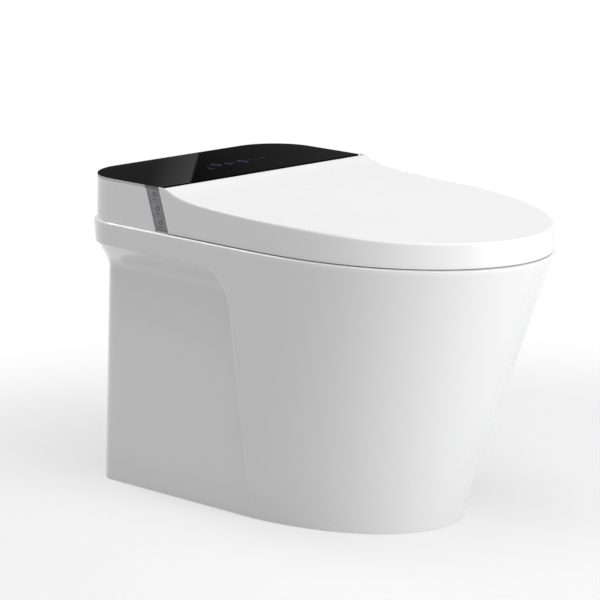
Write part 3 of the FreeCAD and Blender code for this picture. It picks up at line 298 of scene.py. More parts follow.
# plain rings behind the glass as (x, y, radius), and one spot under them
displayMarks = [(-0.036, 0.229, 0.0022), (-0.018, 0.233, 0.006), (0.002, 0.229, 0.0045), (0.016, 0.233, 0.0022),
                (0.030, 0.229, 0.006), (0.046, 0.232, 0.002), (0.056, 0.229, 0.0022), (0.071, 0.231, 0.0028)]
display = {"wide": 1.6, "tone": (0.07, 0.062, 0.11), "spot": (-0.044, 0.215), "spotRadius": 0.0035, "spotWide": 1.4,
           "spotTone": (0.05, 0.07, 0.02)}
# a plain ring over a short bar, the same on all three keys, each by its key's (y, z)
keyMarks = {
    "places": [(0.1547, 0.3964), (0.1614, 0.4147), (0.1681, 0.433)], "tone": (0.1, 0.1, 0.105),
    "ring": {"shift": (-0.0005, 0.0015), "radius": 0.0034, "wide": 1.3, "hollow": 0.45},
    "bar": {"shift": (-0.001, -0.0052), "radius": 0.0008, "wide": 7, "hollow": 0},
}


def addRing(tree, colour, centre, radius, tone, wide=1.0, hollow=0.6, turned=False):
    # a small ring or spot over a colour: on the top face by (x, y), or on the left face by (y, z) when turned
    scale = (0, 1 / wide, 1) if turned else (1, 1 / wide, 0)
    middle = (0, *centre) if turned else (*centre, 0)
    shift = [-m * s for m, s in zip(middle, scale)]
    off = addNode(tree, "VectorMath", {0: objectPlace(tree), 1: scale, 2: shift}, "MULTIPLY_ADD")
    size = addNode(tree, "VectorMath", {0: off.outputs["Vector"]}, "LENGTH").outputs["Value"]
    inside, outside = mathOf(tree, "LESS_THAN", size, radius), mathOf(tree, "GREATER_THAN", size, radius * hollow)
    return blendColour(tree, mathOf(tree, "MULTIPLY", inside, outside), colour, (*tone, 1))


def paintGlass(finish):
    tree, paintedTones = finish.node_tree, glassPaintedReflection
    shader, place = tree.nodes["Principled BSDF"], objectPlace(tree)
    fillSockets(tree, shader, {"Specular IOR Level": 0, "Coat Weight": paintedTones["coat"]})
    # painted reflection: the glass itself reflects next to nothing, and this slanted ramp paints the reflected
    # studio into its colour
    across = addNode(tree, "VectorMath", {0: place, 1: (*paintedTones["toward"], 0)}, "DOT_PRODUCT").outputs["Value"]
    middle = sum(a * b for a, b in zip(paintedTones["from"], paintedTones["toward"]))
    ramp = addNode(tree, "ValToRGB", {"Fac": ranged(tree, across, middle - paintedTones["reach"], middle + paintedTones["reach"])})
    stops = ramp.color_ramp.elements
    for where, tone in paintedTones["stops"][2:]:
        stops.new(where)
    for stop, (where, tone) in zip(stops, paintedTones["stops"]):
        stop.position, stop.color = where, (tone, tone, tone * paintedTones["blue"], 1)
    colour = ramp.outputs["Color"]
    for x, y, radius in displayMarks:
        colour = addRing(tree, colour, (x, y), radius, display["tone"], wide=display["wide"])
    colour = addRing(tree, colour, display["spot"], display["spotRadius"], display["spotTone"],
                     wide=display["spotWide"])
    # painted reflection: the pale band on the glass's side below its top face, dimmed beside the strip and at the
    # front
    apart = addNode(tree, "SeparateXYZ", {0: place})
    beside = ranged(tree, apart.outputs["Y"], paintedTones["stripEnd"], paintedTones["stripEnd"] + paintedTones["stripBlur"],
                    paintedTones["stripEdge"], paintedTones["edge"])
    front = ranged(tree, apart.outputs["Y"], paintedTones["frontEnd"], paintedTones["frontEnd"] + paintedTones["frontBlur"],
                   paintedTones["frontEdge"])
    upper = ranged(tree, apart.outputs["Z"], paintedTones["edgeLow"], paintedTones["edgeHigh"])
    colour = blendColour(tree, upper, mathOf(tree, "MULTIPLY", beside, front), colour)
    fillSockets(tree, shader, {"Base Color": colour})


def paintKeys(finish):
    tree = finish.node_tree
    shader = tree.nodes["Principled BSDF"]
    colour = addNode(tree, "RGB").outputs[0]
    colour.default_value = shader.inputs["Base Color"].default_value[:]
    for y, z in keyMarks["places"]:
        for mark in (keyMarks["ring"], keyMarks["bar"]):
            centre = (y + mark["shift"][0], z + mark["shift"][1])
            colour = addRing(tree, colour, centre, mark["radius"], keyMarks["tone"], wide=mark["wide"],
                             hollow=mark["hollow"], turned=True)
    fillSockets(tree, shader, {"Base Color": colour})


paintGlass(finishes["black_glass"])
paintKeys(finishes["grey_strip"])

slotOfNode = {part["node"]: part["material_slot"] for part in frame["record"]["subparts"]}
for nodeName, node in frame["nodes"].items():
    finish = finishes[slotOfNode[nodeName]]
    if not node.data.materials:
        node.data.materials.append(finish)
    for place in range(len(node.material_slots)):
        node.material_slots[place].material = finish
print("finishes:", len(finishes))


# the skirt's plan at the rim and at the foot
plans = {
    "rear": 335,
    "rimHeight": 384,
    "rim": {"half": 199.8, "middle": 199.8, "bend": -1, "nose": -334.0, "corner": 76, "long": 2.48, "wide": 1.96},
    "foot": {"half": 160, "middle": 155, "bend": 123, "nose": -191, "corner": 60, "long": 2.57, "wide": 2.0},
}


def planAt(z):
    # the skirt's plan at height z, between the foot's and the rim's
    share = z / plans["rimHeight"]
    return {key: mix(plans["foot"][key], plans["rim"][key], share) for key in plans["rim"]}


def nosePoint(plan, turn):
    # turn 0 is where the side starts to curve in, a quarter circle is the tip of the nose
    x = plan["middle"] * max(math.cos(turn), 0) ** (2 / plan["wide"])
    y = plan["bend"] - (plan["bend"] - plan["nose"]) * math.sin(turn) ** (2 / plan["long"])
    return x, y


def halfAt(plan, y, rear=None):
    cornerStart = (rear or plans["rear"]) - plan["corner"]
    if y < plan["bend"]:
        reach = min((plan["bend"] - y) / (plan["bend"] - plan["nose"]), 1)
        return plan["middle"] * max(1 - reach ** plan["long"], 0) ** (1 / plan["wide"])
    return mix(plan["middle"], plan["half"], min((y - plan["bend"]) / (cornerStart - plan["bend"]), 1))


def turnAt(plan, y):
    # the turn at which the nose curve passes y
    reach = max((plan["bend"] - y) / (plan["bend"] - plan["nose"]), 0)
    return math.asin(min(reach, 1) ** (plan["long"] / 2))


# the china body: right half from two grids, then mirrored
china = {
    "sideLine": -3,          # where the nose's grid ends and the recess's begins
    "recessFront": 27, "recessTop": 350, "archRadius": 57,
    "edgeRound": 4.2, "footRound": 9,
    "bandStart": 360, "bandEnd": 305, "bandHalf": 195.4, "recessHalf": 148, "recessCorner": 30,
    "footHalfFront": 150.6, "footHalfRear": 160, "innerRear": 334, "innerFront": 24,
    "cornerMark": 259, "backMark": 349, "endMark": 443,
    "rimRound": 2.6,
    "rimEdge": [(0.15, 2.1), (0.6, 1.62), (1.5, 1.0), (2.5, 0.32), (3.0, 0.08), (3.8, 0)],
    "noseColumns": 56, "legColumns": 36, "archColumns": 40, "backColumns": 64,
    # rows of the recess's grid: shares of the way and turns in degrees, then steps inward
    "outsideShares": (0, 0.2, 0.4, 0.58, 0.74, 0.87, 0.95), "crestTurns": (0, 22, 45, 68, 90),
    "wallShares": (0.33, 0.67), "valleyTurns": (0, 18, 36, 54, 72, 90), "crestShare": 0.4, "valleyShare": 0.55,
    "fineStep": 3, "fineEnd": 60, "coarseStep": 11, "leastArch": 12, "archShare": 0.4,
}


def roundTheBack(mark, half, corner, rear):
    # a point of a plan by its mark: along the side, round the rear corner, then to the middle of the back
    if mark <= china["cornerMark"]:
        return None
    if mark <= china["backMark"]:
        turn = math.pi / 2 * (mark - china["cornerMark"]) / (china["backMark"] - china["cornerMark"])
        return half - corner + corner * math.cos(turn), rear - corner + corner * math.sin(turn)
    share = (mark - china["backMark"]) / (china["endMark"] - china["backMark"])
    return (half - corner) * (1 - share), rear


def sideY(mark, start, cornerStart):
    # places behind the recess's front edge are spread over what the plan's side has there
    if mark <= start:
        return mark
    return mix(start, cornerStart, (mark - start) / (china["cornerMark"] - start))


def skirtPoint(mark, z):
    plan, rear = planAt(z), plans["rear"]
    around = roundTheBack(mark, plan["half"], plan["corner"], rear)
    if around:
        return Vector((*around, z))
    y = sideY(mark, china["recessFront"], rear - plan["corner"])
    return Vector((halfAt(plan, y), y, z))


def recessedPoint(mark, z):
    rear, frontY = china["innerRear"], china["innerFront"]
    if z >= china["bandEnd"]:
        down = ease((china["bandStart"] - z) / (china["bandStart"] - china["bandEnd"]))
        half = mix(china["bandHalf"], china["recessHalf"], down)
        corner = mix(plans["rim"]["corner"], china["recessCorner"], down)
        frontHalf = half
    else:
        down = (china["bandEnd"] - z) / china["bandEnd"]
        half = mix(china["recessHalf"], china["footHalfRear"], down)
        frontHalf = mix(china["recessHalf"], china["footHalfFront"], down)
        corner = china["recessCorner"]
    around = roundTheBack(mark, half, corner, rear)
    if around:
        return Vector((*around, z))
    y = sideY(mark, china["recessFront"], rear - corner)
    return Vector((mix(frontHalf, half, (y - frontY) / (rear - corner - frontY)), y, z))


def archLine(inward, column):
    # (mark, height) of one column on the line that lies inward of the recess's edge
    legs, arch, back = china["legColumns"], china["archColumns"], china["backColumns"]
    height, front = china["recessTop"], china["recessFront"]
    radius = max(china["archRadius"] - inward, min(china["leastArch"], china["archShare"] * (height - inward)))
    low = height - inward - radius
    if column <= legs:
        return front + inward, low * column / legs
    if column <= legs + arch:
        turn = math.pi / 2 * (column - legs) / arch
        return front + inward + radius * (1 - math.cos(turn)), low + radius * math.sin(turn)
    start = front + inward + radius
    return mix(start, china["endMark"], (column - legs - arch) / back), height - inward


def outerLine(column):
    # (mark, height) of the same column on the border of the recess's grid: up the side line, then along the rim
    legs, arch, back = china["legColumns"], china["archColumns"], china["backColumns"]
    top, side = plans["rimHeight"] - china["rimRound"], china["sideLine"]
    middleMark = china["recessFront"] + china["archRadius"]
    middleZ = china["recessTop"] - china["archRadius"]
    if column <= legs:
        return side, middleZ * column / legs
    if column <= legs + arch:
        turn = math.pi / 2 * (column - legs) / arch
        if turn <= math.pi / 4:
            return side, middleZ + (top - middleZ) * math.tan(turn)
        return middleMark - (middleMark - side) / math.tan(turn), top
    return mix(middleMark, china["endMark"], (column - legs - arch) / back), top


def recessRows():
    # each row is its part of the recess with a share, a turn or a way inward
    rows = [("outside", share) for share in china["outsideShares"]]
    rows += [("crest", math.radians(turn)) for turn in china["crestTurns"]]
    rows += [("wall", share) for share in china["wallShares"]]
    rows += [("valley", math.radians(turn)) for turn in china["valleyTurns"]]
    inward = china["footRound"]
    while inward < china["recessTop"]:
        step = china["fineStep"] if inward < china["fineEnd"] else china["coarseStep"]
        inward = min(inward + step, china["recessTop"])
        rows.append(("inside", inward))
    return rows


def recessGrid():
    rows = recessRows()

    def place(column, row):
        kind, value = rows[row]
        edgeMark, edgeZ = archLine(0, column)
        depth = max((skirtPoint(edgeMark, edgeZ) - recessedPoint(edgeMark, edgeZ)).length, 0.01)
        crest = min(china["edgeRound"], china["crestShare"] * depth)
        valley = min(china["footRound"], china["valleyShare"] * depth)
        if kind == "outside":
            (m0, z0), (m1, z1) = outerLine(column), archLine(-crest, column)
            return skirtPoint(mix(m0, m1, value), mix(z0, z1, value))
        if kind == "inside":
            return recessedPoint(*archLine(value, column))
        if kind == "crest":
            inward, sunk = -crest * (1 - math.sin(value)), crest * (1 - math.cos(value))
        elif kind == "wall":
            inward, sunk = 0, mix(crest, depth - valley, value)
        else:
            inward, sunk = valley * (1 - math.cos(value)), depth - valley * (1 - math.sin(value))
        where = archLine(inward, column)
        return skirtPoint(*where).lerp(recessedPoint(*where), sunk / depth)

    columns = china["legColumns"] + china["archColumns"] + china["backColumns"] + 1
    return gridPatch("recessSide", columns, len(rows), place)


def noseGrid():
    columns, rows = china["noseColumns"] + 1, china["legColumns"] + china["archColumns"] // 2 + 1

    def place(column, row):
        z = outerLine(row)[1]
        plan = planAt(z)
        low = turnAt(plan, china["sideLine"])
        turn = mix(low, math.pi / 2, column / china["noseColumns"])
        if column == 0:
            return Vector((halfAt(plan, china["sideLine"]), china["sideLine"], z))
        if column == china["noseColumns"]:
            return Vector((0, plan["nose"], z))
        return Vector((*nosePoint(plan, turn), z))

    return gridPatch("noseSide", columns, rows, place)


def inwardAt(point):
    # the level direction into the body from a point of the rim
    plan, rear = planAt(plans["rimHeight"]), plans["rear"]
    x, y = point.x, point.y
    side = 1 if x > 0 else -1
    if y < plan["bend"]:
        length = plan["bend"] - plan["nose"]
        slopeX = plan["wide"] * (abs(x) / plan["middle"]) ** (plan["wide"] - 1) / plan["middle"]
        slopeY = plan["long"] * ((plan["bend"] - y) / length) ** (plan["long"] - 1) / length
        return Vector((-side * slopeX, slopeY, 0)).normalized()
    corner = plan["corner"]
    if y > rear - corner:
        if abs(x) < plan["half"] - corner:
            return Vector((0, -1, 0))
        middle = Vector((side * (plan["half"] - corner), rear - corner, 0))
        return (middle - Vector((x, y, 0))).normalized()
    return Vector((-side, 0, 0))


def makeChina():
    right = [recessGrid(), noseGrid()]
    body = joinPatches("chinaBody", right + [mirrorCopy(patch) for patch in right])
    top, radius = plans["rimHeight"], china["rimRound"]
    editMode(body)
    pick(body, lambda p: p.z > top - radius - touch)
    bpy.ops.object.mode_set(mode="OBJECT")
    lastInset = 0
    for inset, below in china["rimEdge"]:
        editMode(body)
        bpy.ops.mesh.select_mode(type="VERT")
        bpy.ops.mesh.extrude_region_move()
        bpy.ops.object.mode_set(mode="OBJECT")
        for vertex in body.data.vertices:
            if vertex.select:
                vertex.co += inwardAt(vertex.co) * (inset - lastInset)
                vertex.co.z = top - below
        lastInset = inset
    fillHole(body, lambda p: p.z > top - touch)
    fillHole(body, lambda p: p.z < touch)
    print("china skin: %d points" % len(body.data.vertices))
    return body


bowl = {
    "half": 131, "halfLength": 162, "middleY": -90, "floor": 180, "lip": 7, "columns": 96,
    "stations": [(180, 0.30, 0.30, 45), (205, 0.44, 0.44, 35), (260, 0.73, 0.74, 15),
                 (330, 0.945, 0.94, 2), (384, 1.0, 1.0, 0)],  # height, share across, share along, way back
    "above": 6, "lipShares": (0.02, 0.08, 0.18, 0.33, 0.55, 1), "rowStep": 7, "lastRow": 8,
}


def bowlTool():
    top = plans["rimHeight"]
    heights = [top + bowl["above"], top] + [top - bowl["lip"] * share for share in bowl["lipShares"]]
    while heights[-1] > bowl["floor"] + bowl["lastRow"]:
        heights.append(heights[-1] - bowl["rowStep"])
    heights.append(bowl["floor"])
    across, along, shift = ([(station[0], station[k]) for station in bowl["stations"]] for k in (1, 2, 3))

    def place(column, row):
        z = heights[row]
        turn = 2 * math.pi * column / bowl["columns"]
        below = min(max(top - z, 0), bowl["lip"])
        flare = bowl["lip"] - math.sqrt(max(bowl["lip"] ** 2 - (bowl["lip"] - below) ** 2, 0))
        halfX = bowl["half"] * alongPoints(across, z) + flare
        halfY = bowl["halfLength"] * alongPoints(along, z) + flare
        y = bowl["middleY"] + alongPoints(shift, z)
        return Vector((halfX * math.cos(turn), y + halfY * math.sin(turn), z))

    tool = joinPatches("bowlTool", [gridPatch("bowlSide", bowl["columns"] + 1, len(heights), place)])
    fillHole(tool, lambda p: p.z > top + bowl["above"] - touch)
    fillHole(tool, lambda p: p.z < bowl["floor"] + touch)
    return turnOutward(tool)


chinaOpenings = {
    "trap": (24, (0, -45, 204), (0, 22, 204)),
    "downLeg": (46, (0, 30, -1), (0, 30, 150)),
    "gasketSeat": (66, (0, 30, -1), (0, 30, 11)),
    "flushPort": (9.2, (-46, 150, 320), (-46, 191, 320)),
    "hoseHole": (13, (-60, 226, 347), (-60, 226, 386)),
}
chinaCuts = {
    "wandNotch": ((-78, 30, 366), (78, 127, 390)),
    "serviceBay": ((-112, 190, -1), (112, 345, 348)),
}

chinaBody = makeChina()
carve(chinaBody, bowlTool())
for low, high in chinaCuts.values():
    carve(chinaBody, boxTool(low, high))
for radius, start, end in chinaOpenings.values():
    carve(chinaBody, cylinderTool(radius, start, end))
finishPiece(chinaBody, finishes["vitreous_china"], "root", ["ceramic_body"], smoothAngle=50)
print("china body done")


# the lid
seam = {"foot": 136, "top": 158.5, "low": 386, "high": 446, "gap": 1.8, "wallFoot": 143, "wallTop": 160}


def seamY(z, behind=0):
    # the slanted line where the lid's side meets the cover's
    share = (z - seam["low"]) / (seam["high"] - seam["low"])
    return mix(seam["foot"], seam["top"], share) + behind


def wallY(z, behind=0):
    # the front of the cover's inner wall, which leaves the lid room to turn
    share = (z - seam["low"]) / (seam["high"] - seam["low"])
    return mix(seam["wallFoot"], seam["wallTop"], share) + behind


lid = {
    "half": 197.4, "nose": -332.8, "bend": -1, "long": 2.48, "wide": 1.96,
    "lean": 2.2, "noseLean": 0.6, "leanHeight": 66, "foot": 385.1,
    "crown": 5, "crownHalf": 215, "skin": 1.0, "edgeRound": 3.4, "cornerRound": 0.8, "footRound": 0.5,
    "rollStart": 146, "rollRadius": 9.6, "rollGap": 47, "rollEnd": 82, "rollFoot": 128, "gapInset": 6.8,
    "cornerY": 157.9, "cornerLow": 438,
    "fadeStart": 143, "fadeLength": 100, "firstGuess": 440, "cornerLean": 45, "cornerPower": 6, "softStart": 0.16,
    "profile": [(-350, 413.3), (-240, 416.8), (-160, 421.6), (-80, 425.2), (0, 427.4), (60, 430),
                (104, 434.2), (128, 439.6), (142, 445), (152, 445.9), (165, 445.9), (190, 445.9)],
    "endColumns": 4, "rollColumns": 6, "sideColumns": 30, "noseColumns": 48,
    "wallRows": 7, "topRows": 26, "topInset": 3.9, "topSpread": 1.25, "earGap": 1.5,
    "footTurns": (0, 30, 60), "edgeTurns": (0, 15, 30, 45, 60, 75, 90),
}


def lidTop(x, y):
    fade = min(max((lid["fadeStart"] - y) / lid["fadeLength"], 0), 1)
    return alongPoints(lid["profile"], y) + lid["crown"] * fade * (1 - (x / lid["crownHalf"]) ** 2)


def lidColumns():
    # the lid's edge as a path: over the rolled rear edge, along the side, round to the nose
    path = [("roll", mix(lid["rollEnd"], lid["rollGap"], i / lid["endColumns"])) for i in range(lid["endColumns"])]
    path += [("roll", mix(lid["rollGap"], 0, i / lid["rollColumns"])) for i in range(lid["rollColumns"])]
    path += [("side", i / lid["sideColumns"]) for i in range(lid["sideColumns"])]
    path += [("nose", math.pi / 2 * i / lid["noseColumns"]) for i in range(lid["noseColumns"] + 1)]
    return path


def lidPlan(z, inset):
    rise = (z - lid["foot"]) / lid["leanHeight"]
    return {"middle": max(lid["half"] - lid["lean"] * rise - inset, 0), "bend": lid["bend"],
            "nose": lid["nose"] + lid["noseLean"] * rise + inset, "long": lid["long"], "wide": lid["wide"]}


def lidEdge(kind, value, inset):
    # a point of the lid's top surface at inset from its edge, and the lean of the surface there
    guess = lid["firstGuess"]
    for _ in range(3):
        plan = lidPlan(guess, inset)
        if kind == "nose":
            x, y = nosePoint(plan, value)
            lean = 0
        elif kind == "side":
            x, y, lean = plan["middle"], mix(lid["rollStart"], lid["bend"], value), 0
        else:
            x, y, z, lean = rearEdge(plan["middle"], value, inset)
        if kind != "roll":
            z = lidTop(x, y)
        guess = z
    return Vector((x, y, z)), lean


def rearEdge(x, value, inset):
    # the top rolls down at the back, but the side wall keeps its corner up to the seam
    turn, corner = math.radians(value), lid["rollGap"]
    rolledY = lid["rollStart"] + lid["rollRadius"] * math.sin(turn)
    rolledZ = lidTop(x, lid["rollStart"]) - lid["rollRadius"] * (1 - math.cos(turn))
    if value <= corner:
        share = value / corner
        y = mix(lid["rollStart"], lid["cornerY"], share)
        z, lean = lidTop(x, y), math.radians(lid["cornerLean"]) * share ** lid["cornerPower"]
    else:
        share = (value - corner) / (lid["rollEnd"] - corner)
        y = mix(lid["cornerY"], seamY(lid["cornerLow"]), share)
        z, lean = mix(lidTop(x, lid["cornerY"]), lid["cornerLow"], share), math.pi / 2
    if inset > lid["edgeRound"]:
        return x, rolledY, rolledZ, turn
    return x, y, z, lean


def edgeRoundAt(kind, value):
    # the edge is tight at the rear corner and grows softer along the side
    if kind == "nose":
        return lid["edgeRound"]
    return mix(lid["cornerRound"], lid["edgeRound"], ease(value / lid["softStart"]) if kind == "side" else 0)


def lidFoot(kind, value, inset, lift=0):
    # the point of the lid's lower edge that belongs to the same column
    plan = lidPlan(lid["foot"], inset)
    z = lid["foot"] + lift
    if kind == "nose":
        return Vector((*nosePoint(plan, value), z))
    if kind == "side":
        y = mix(lid["rollFoot"], lid["bend"], value)
    else:
        y = mix(lid["rollFoot"], seam["foot"], value / lid["rollEnd"])
    return Vector((plan["middle"], y, z))


def makeLid():
    path, footRound = lidColumns(), lid["footRound"]
    rows = [("foot", turn) for turn in lid["footTurns"]]
    rows += [("wall", i / lid["wallRows"]) for i in range(lid["wallRows"])]
    rows += [("round", turn) for turn in lid["edgeTurns"]]
    rows += [("top", inset) for inset in (lid["topInset"], lid["gapInset"])]
    rows += [("top", mix(lid["gapInset"], lid["half"] + 1, (i / lid["topRows"]) ** lid["topSpread"]))
             for i in range(1, lid["topRows"] + 1)]

    def place(column, row):
        (kind, value), (part, share) = path[column], rows[row]
        edge = edgeRoundAt(kind, value)
        if part == "top":
            return lidEdge(kind, value, share)[0]
        if part == "round":
            turn = math.radians(share)
            point, lean = lidEdge(kind, value, edge * (1 - math.cos(turn)))
            sunk = edge * (1 - math.sin(turn))
            return point - Vector((0, math.sin(lean), math.cos(lean))) * sunk
        if part == "foot":
            turn = math.radians(share)
            return lidFoot(kind, value, footRound * (1 - math.sin(turn)), footRound * (1 - math.cos(turn)))
        point, lean = lidEdge(kind, value, 0)
        point -= Vector((0, math.sin(lean), math.cos(lean))) * edge
        return lidFoot(kind, value, 0, footRound).lerp(point, share)

    patch = gridPatch("lidSide", len(path), len(rows), place)
    # beside the corner wall a slit leaves room for the cover's cheeks and the key strip while the lid turns
    openColumns, slitColumns = lid["endColumns"], lid["endColumns"] + lid["rollColumns"]
    firstTop = next(i for i, row in enumerate(rows) if row[0] == "top")
    editMode(patch)
    bpy.ops.mesh.select_mode(type="FACE")
    bpy.ops.mesh.select_all(action="DESELECT")
    bpy.ops.object.mode_set(mode="OBJECT")
    for face in patch.data.polygons:
        row, column = divmod(face.index, len(path) - 1)
        face.select = (row == firstTop - 1 and column < slitColumns) or (row >= firstTop and column < openColumns)
    bpy.ops.object.mode_set(mode="EDIT")
    bpy.ops.mesh.delete(type="FACE")
    bpy.ops.object.mode_set(mode="OBJECT")
    shell = joinPatches("lidShell", [patch, mirrorCopy(patch)], gap=0.05)
    wall = shell.modifiers.new("wall", "SOLIDIFY")
    wall.thickness, wall.offset = lid["skin"], -1
    bpy.ops.object.modifier_apply(modifier=wall.name)
    return shell


hinge = {"y": 137, "z": 431, "knuckle": 7.5, "bore": 4.06, "past": 2, "lidEar": (136, 150), "seatEar": (118, 134)}


def hingeRod(radius, x0, x1):
    return cylinderTool(radius, (x0, hinge["y"], hinge["z"]), (x1, hinge["y"], hinge["z"]))


def addKnuckle(arm, x0, x1):
    # a round end on the hinge's axis, with its bore
    carve(arm, hingeRod(hinge["knuckle"], x0, x1), "UNION")
    return carve(arm, hingeRod(hinge["bore"], x0 - hinge["past"], x1 + hinge["past"]))


def addLidEars(shell):
    # a web and a knuckle under each rear corner, turning on the hinge shafts
    y, z, reach = hinge["y"], hinge["z"], hinge["knuckle"]
    ears = []
    for side in (-1, 1):
        x0, x1 = sorted(side * x for x in hinge["lidEar"])
        web = boxTool((x0, y - reach, z), (x1, y + reach, lidTop(0, y - reach) - lid["earGap"]))
        ears.append(addKnuckle(web, x0, x1))
    bpy.ops.object.select_all(action="DESELECT")
    for ear in ears:
        ear.select_set(True)
    shell.select_set(True)
    bpy.context.view_layer.objects.active = shell
    bpy.ops.object.join()
    return shell


lidShell = addLidEars(makeLid())
finishPiece(lidShell, finishes["white_shell"], "lid", ["lid_shell"])
print("lid done")


# the rear cover, its glass top and the strip of keys
cover = {
    "foot": 384.2, "top": 442, "footHalf": 195.0, "topHalf": 193.1, "rear": 332.5, "rearLean": 2,
    "footCorner": 75, "topCorner": 72, "wall": 3, "edgeRound": 1.0, "cornerColumns": 20, "rows": 9, "cheek": 1.5,
    "tunnelHalf": 151.5, "tunnelTop": 409.6, "plateHalf": 181, "plateTop": 389, "frontCut": (130, 168),
    "cheekRear": 9, "glandHole": (6.5, (108, 320, 404), (108, 340, 404)),
    "edgeTurns": (30, 60, 90),
}
glass = {"low": 442, "top": 446, "front": 158, "rear": 331, "edgeRound": 1.1, "footEdge": 0.25, "moreColumns": 8,
         "edgeTurns": (22, 45, 68, 90)}
strip = {"width": 27, "depth": 1.3, "low": 385.2, "high": 441.8, "edge": 0.7, "keyWidth": 21.6, "keyHeight": 17.6,
         "keyGap": 0.4, "firstKey": 387.5, "keyInset": 2.4, "proud": 0.05, "stemEnd": 189.4,
         "stemRadius": 2.5, "keyDepth": 1.3, "keyEdge": 0.35, "cutDepth": 6, "past": 3}


def coverHalf(z):
    return mix(cover["footHalf"], cover["topHalf"], (z - cover["foot"]) / (cover["top"] - cover["foot"]))


def tubPoints(half, rear, corner, front, z, columns):
    # half of a plan with a straight front and a rounded rear corner, from the front's middle to the rear's
    points = [Vector((0, front, z)), Vector((half, front, z))]
    for i in range(columns + 1):
        turn = math.pi / 2 * i / columns
        points.append(Vector((half - corner + corner * math.cos(turn), rear - corner + corner * math.sin(turn), z)))
    return points + [Vector((0, rear, z))]


def tubBlock(name, sections):
    # a closed block through plans given from the lowest to the highest
    count = len(sections[0])
    patch = gridPatch(name, count, len(sections), lambda column, row: sections[row][column])
    block = joinPatches(name, [patch, mirrorCopy(patch)])
    low, high = sections[0][0].z, sections[-1][0].z
    fillHole(block, lambda p: p.z < low + touch)
    fillHole(block, lambda p: p.z > high - touch)
    return turnOutward(block)


def coverSection(z, inset=0, front=None):
    share = (z - cover["foot"]) / (cover["top"] - cover["foot"])
    corner = mix(cover["footCorner"], cover["topCorner"], share) - inset
    rear = cover["rear"] - cover["rearLean"] * share - inset
    frontY = wallY(z, seam["gap"] + inset) if front is None else front
    return tubPoints(coverHalf(z) - inset, rear, corner, frontY, z, cover["cornerColumns"])


def roundedTop(section, top, edge, turns):
    angles = [math.radians(turn) for turn in turns]
    return [section(top - edge * (1 - math.sin(angle)), edge * (1 - math.cos(angle))) for angle in angles]


def makeCover():
    foot, top, edge = cover["foot"], cover["top"], cover["edgeRound"]
    sections = [coverSection(mix(foot, top - edge, i / cover["rows"])) for i in range(cover["rows"] + 1)]
    sections += roundedTop(coverSection, top, edge, cover["edgeTurns"])
    shell = tubBlock("rearCover", sections)
    wall = cover["wall"]
    hollow = tubBlock("coverHollow", [coverSection(foot - 2, wall), coverSection(top - wall, wall)])
    carve(shell, hollow)
    for side in (-1, 1):
        cheek = slantedBlock(None, cover["cheek"], 0, cover["cheekRear"], foot, top - 0.5, side=side)
        carve(shell, cheek, "UNION")
    front, rear = cover["frontCut"]
    for half, height in ((cover["tunnelHalf"], cover["tunnelTop"]), (cover["plateHalf"], cover["plateTop"])):
        carve(shell, boxTool((-half, front, foot - 5), (half, rear, height)))
    # the strip's place, a hair larger than the strip and open to the front
    carve(shell, slantedBlock(-coverHalf(strip["low"]) - strip["past"], strip["depth"], -4, strip["width"] + 0.1,
                              strip["low"] - 2, strip["high"] + 0.4))
    return carve(shell, cylinderTool(*cover["glandHole"]))


def slantedBlock(outerX, depth, behindFront, behindRear, low, high, proud=0.0, side=-1):
    # a block on one side whose front and rear run parallel to the seam and whose face follows the cover
    bpy.ops.mesh.primitive_cube_add(size=2)
    block = bpy.context.object
    for vertex in block.data.vertices:
        z = high if vertex.co.z > 0 else low
        y = seamY(z, seam["gap"] + (behindRear if vertex.co.y > 0 else behindFront))
        face = -coverHalf(z)
        if vertex.co.x > 0:
            x = face + depth
        else:
            x = outerX if outerX is not None else face - proud
        vertex.co = (x, y, z)
    if side > 0:
        block.data.transform(Matrix.Scale(-1, 4, (1, 0, 0)))
        block.data.flip_normals()
    return block


def makeGlass():
    low, top, edge = glass["low"], glass["top"], glass["edgeRound"]
    half, corner = cover["topHalf"], cover["topCorner"]

    def section(z, inset):
        return tubPoints(half - inset, glass["rear"] - inset, corner - inset, glass["front"] + inset, z,
                         cover["cornerColumns"] + glass["moreColumns"])

    foot = glass["footEdge"]
    sections = [section(low, foot), section(low + foot, 0), section(top - edge, 0)]
    sections += roundedTop(section, top, edge, glass["edgeTurns"])
    return tubBlock("glassPanel", sections)


rearCover = makeCover()
finishPiece(rearCover, finishes["white_shell"], "root", ["rear_cover"])
glassPanel = makeGlass()
finishPiece(glassPanel, finishes["black_glass"], "root", ["glass_panel"])


def makeStrip():
    # the grey strip and its three keys, each with a stem to its switch
    band = slantedBlock(None, strip["depth"], 0, strip["width"], strip["low"], strip["high"])
    roundEdges(band, strip["edge"])
    gap, front, rear = strip["keyGap"], strip["keyInset"], strip["keyInset"] + strip["keyWidth"]
    for place, keyName in enumerate(("lower_key", "middle_key", "upper_key")):
        low = strip["firstKey"] + place * (strip["keyHeight"] + 2 * gap)
        high = low + strip["keyHeight"]
        carve(band, slantedBlock(-coverHalf(low) - strip["past"], strip["cutDepth"], front - gap, rear + gap,
                                 low - gap, high + gap))
        key = slantedBlock(None, strip["keyDepth"], front, rear, low, high, proud=strip["proud"])
        roundEdges(key, strip["keyEdge"])
        middleZ = (low + high) / 2
        middleY = seamY(middleZ, seam["gap"] + (front + rear) / 2)
        stem = cylinderTool(strip["stemRadius"], (1 - coverHalf(middleZ), middleY, middleZ),
                            (-strip["stemEnd"], middleY, middleZ), 24)
        carve(key, stem, "UNION")
        key.name = "key" + keyName.split("_")[0].capitalize()
        finishPiece(key, finishes["grey_strip"], keyName, [keyName])
    band.name = "sideStrip"
    finishPiece(band, finishes["grey_strip"], "root", ["side_strip"])


makeStrip()
print("cover, glass and keys done")


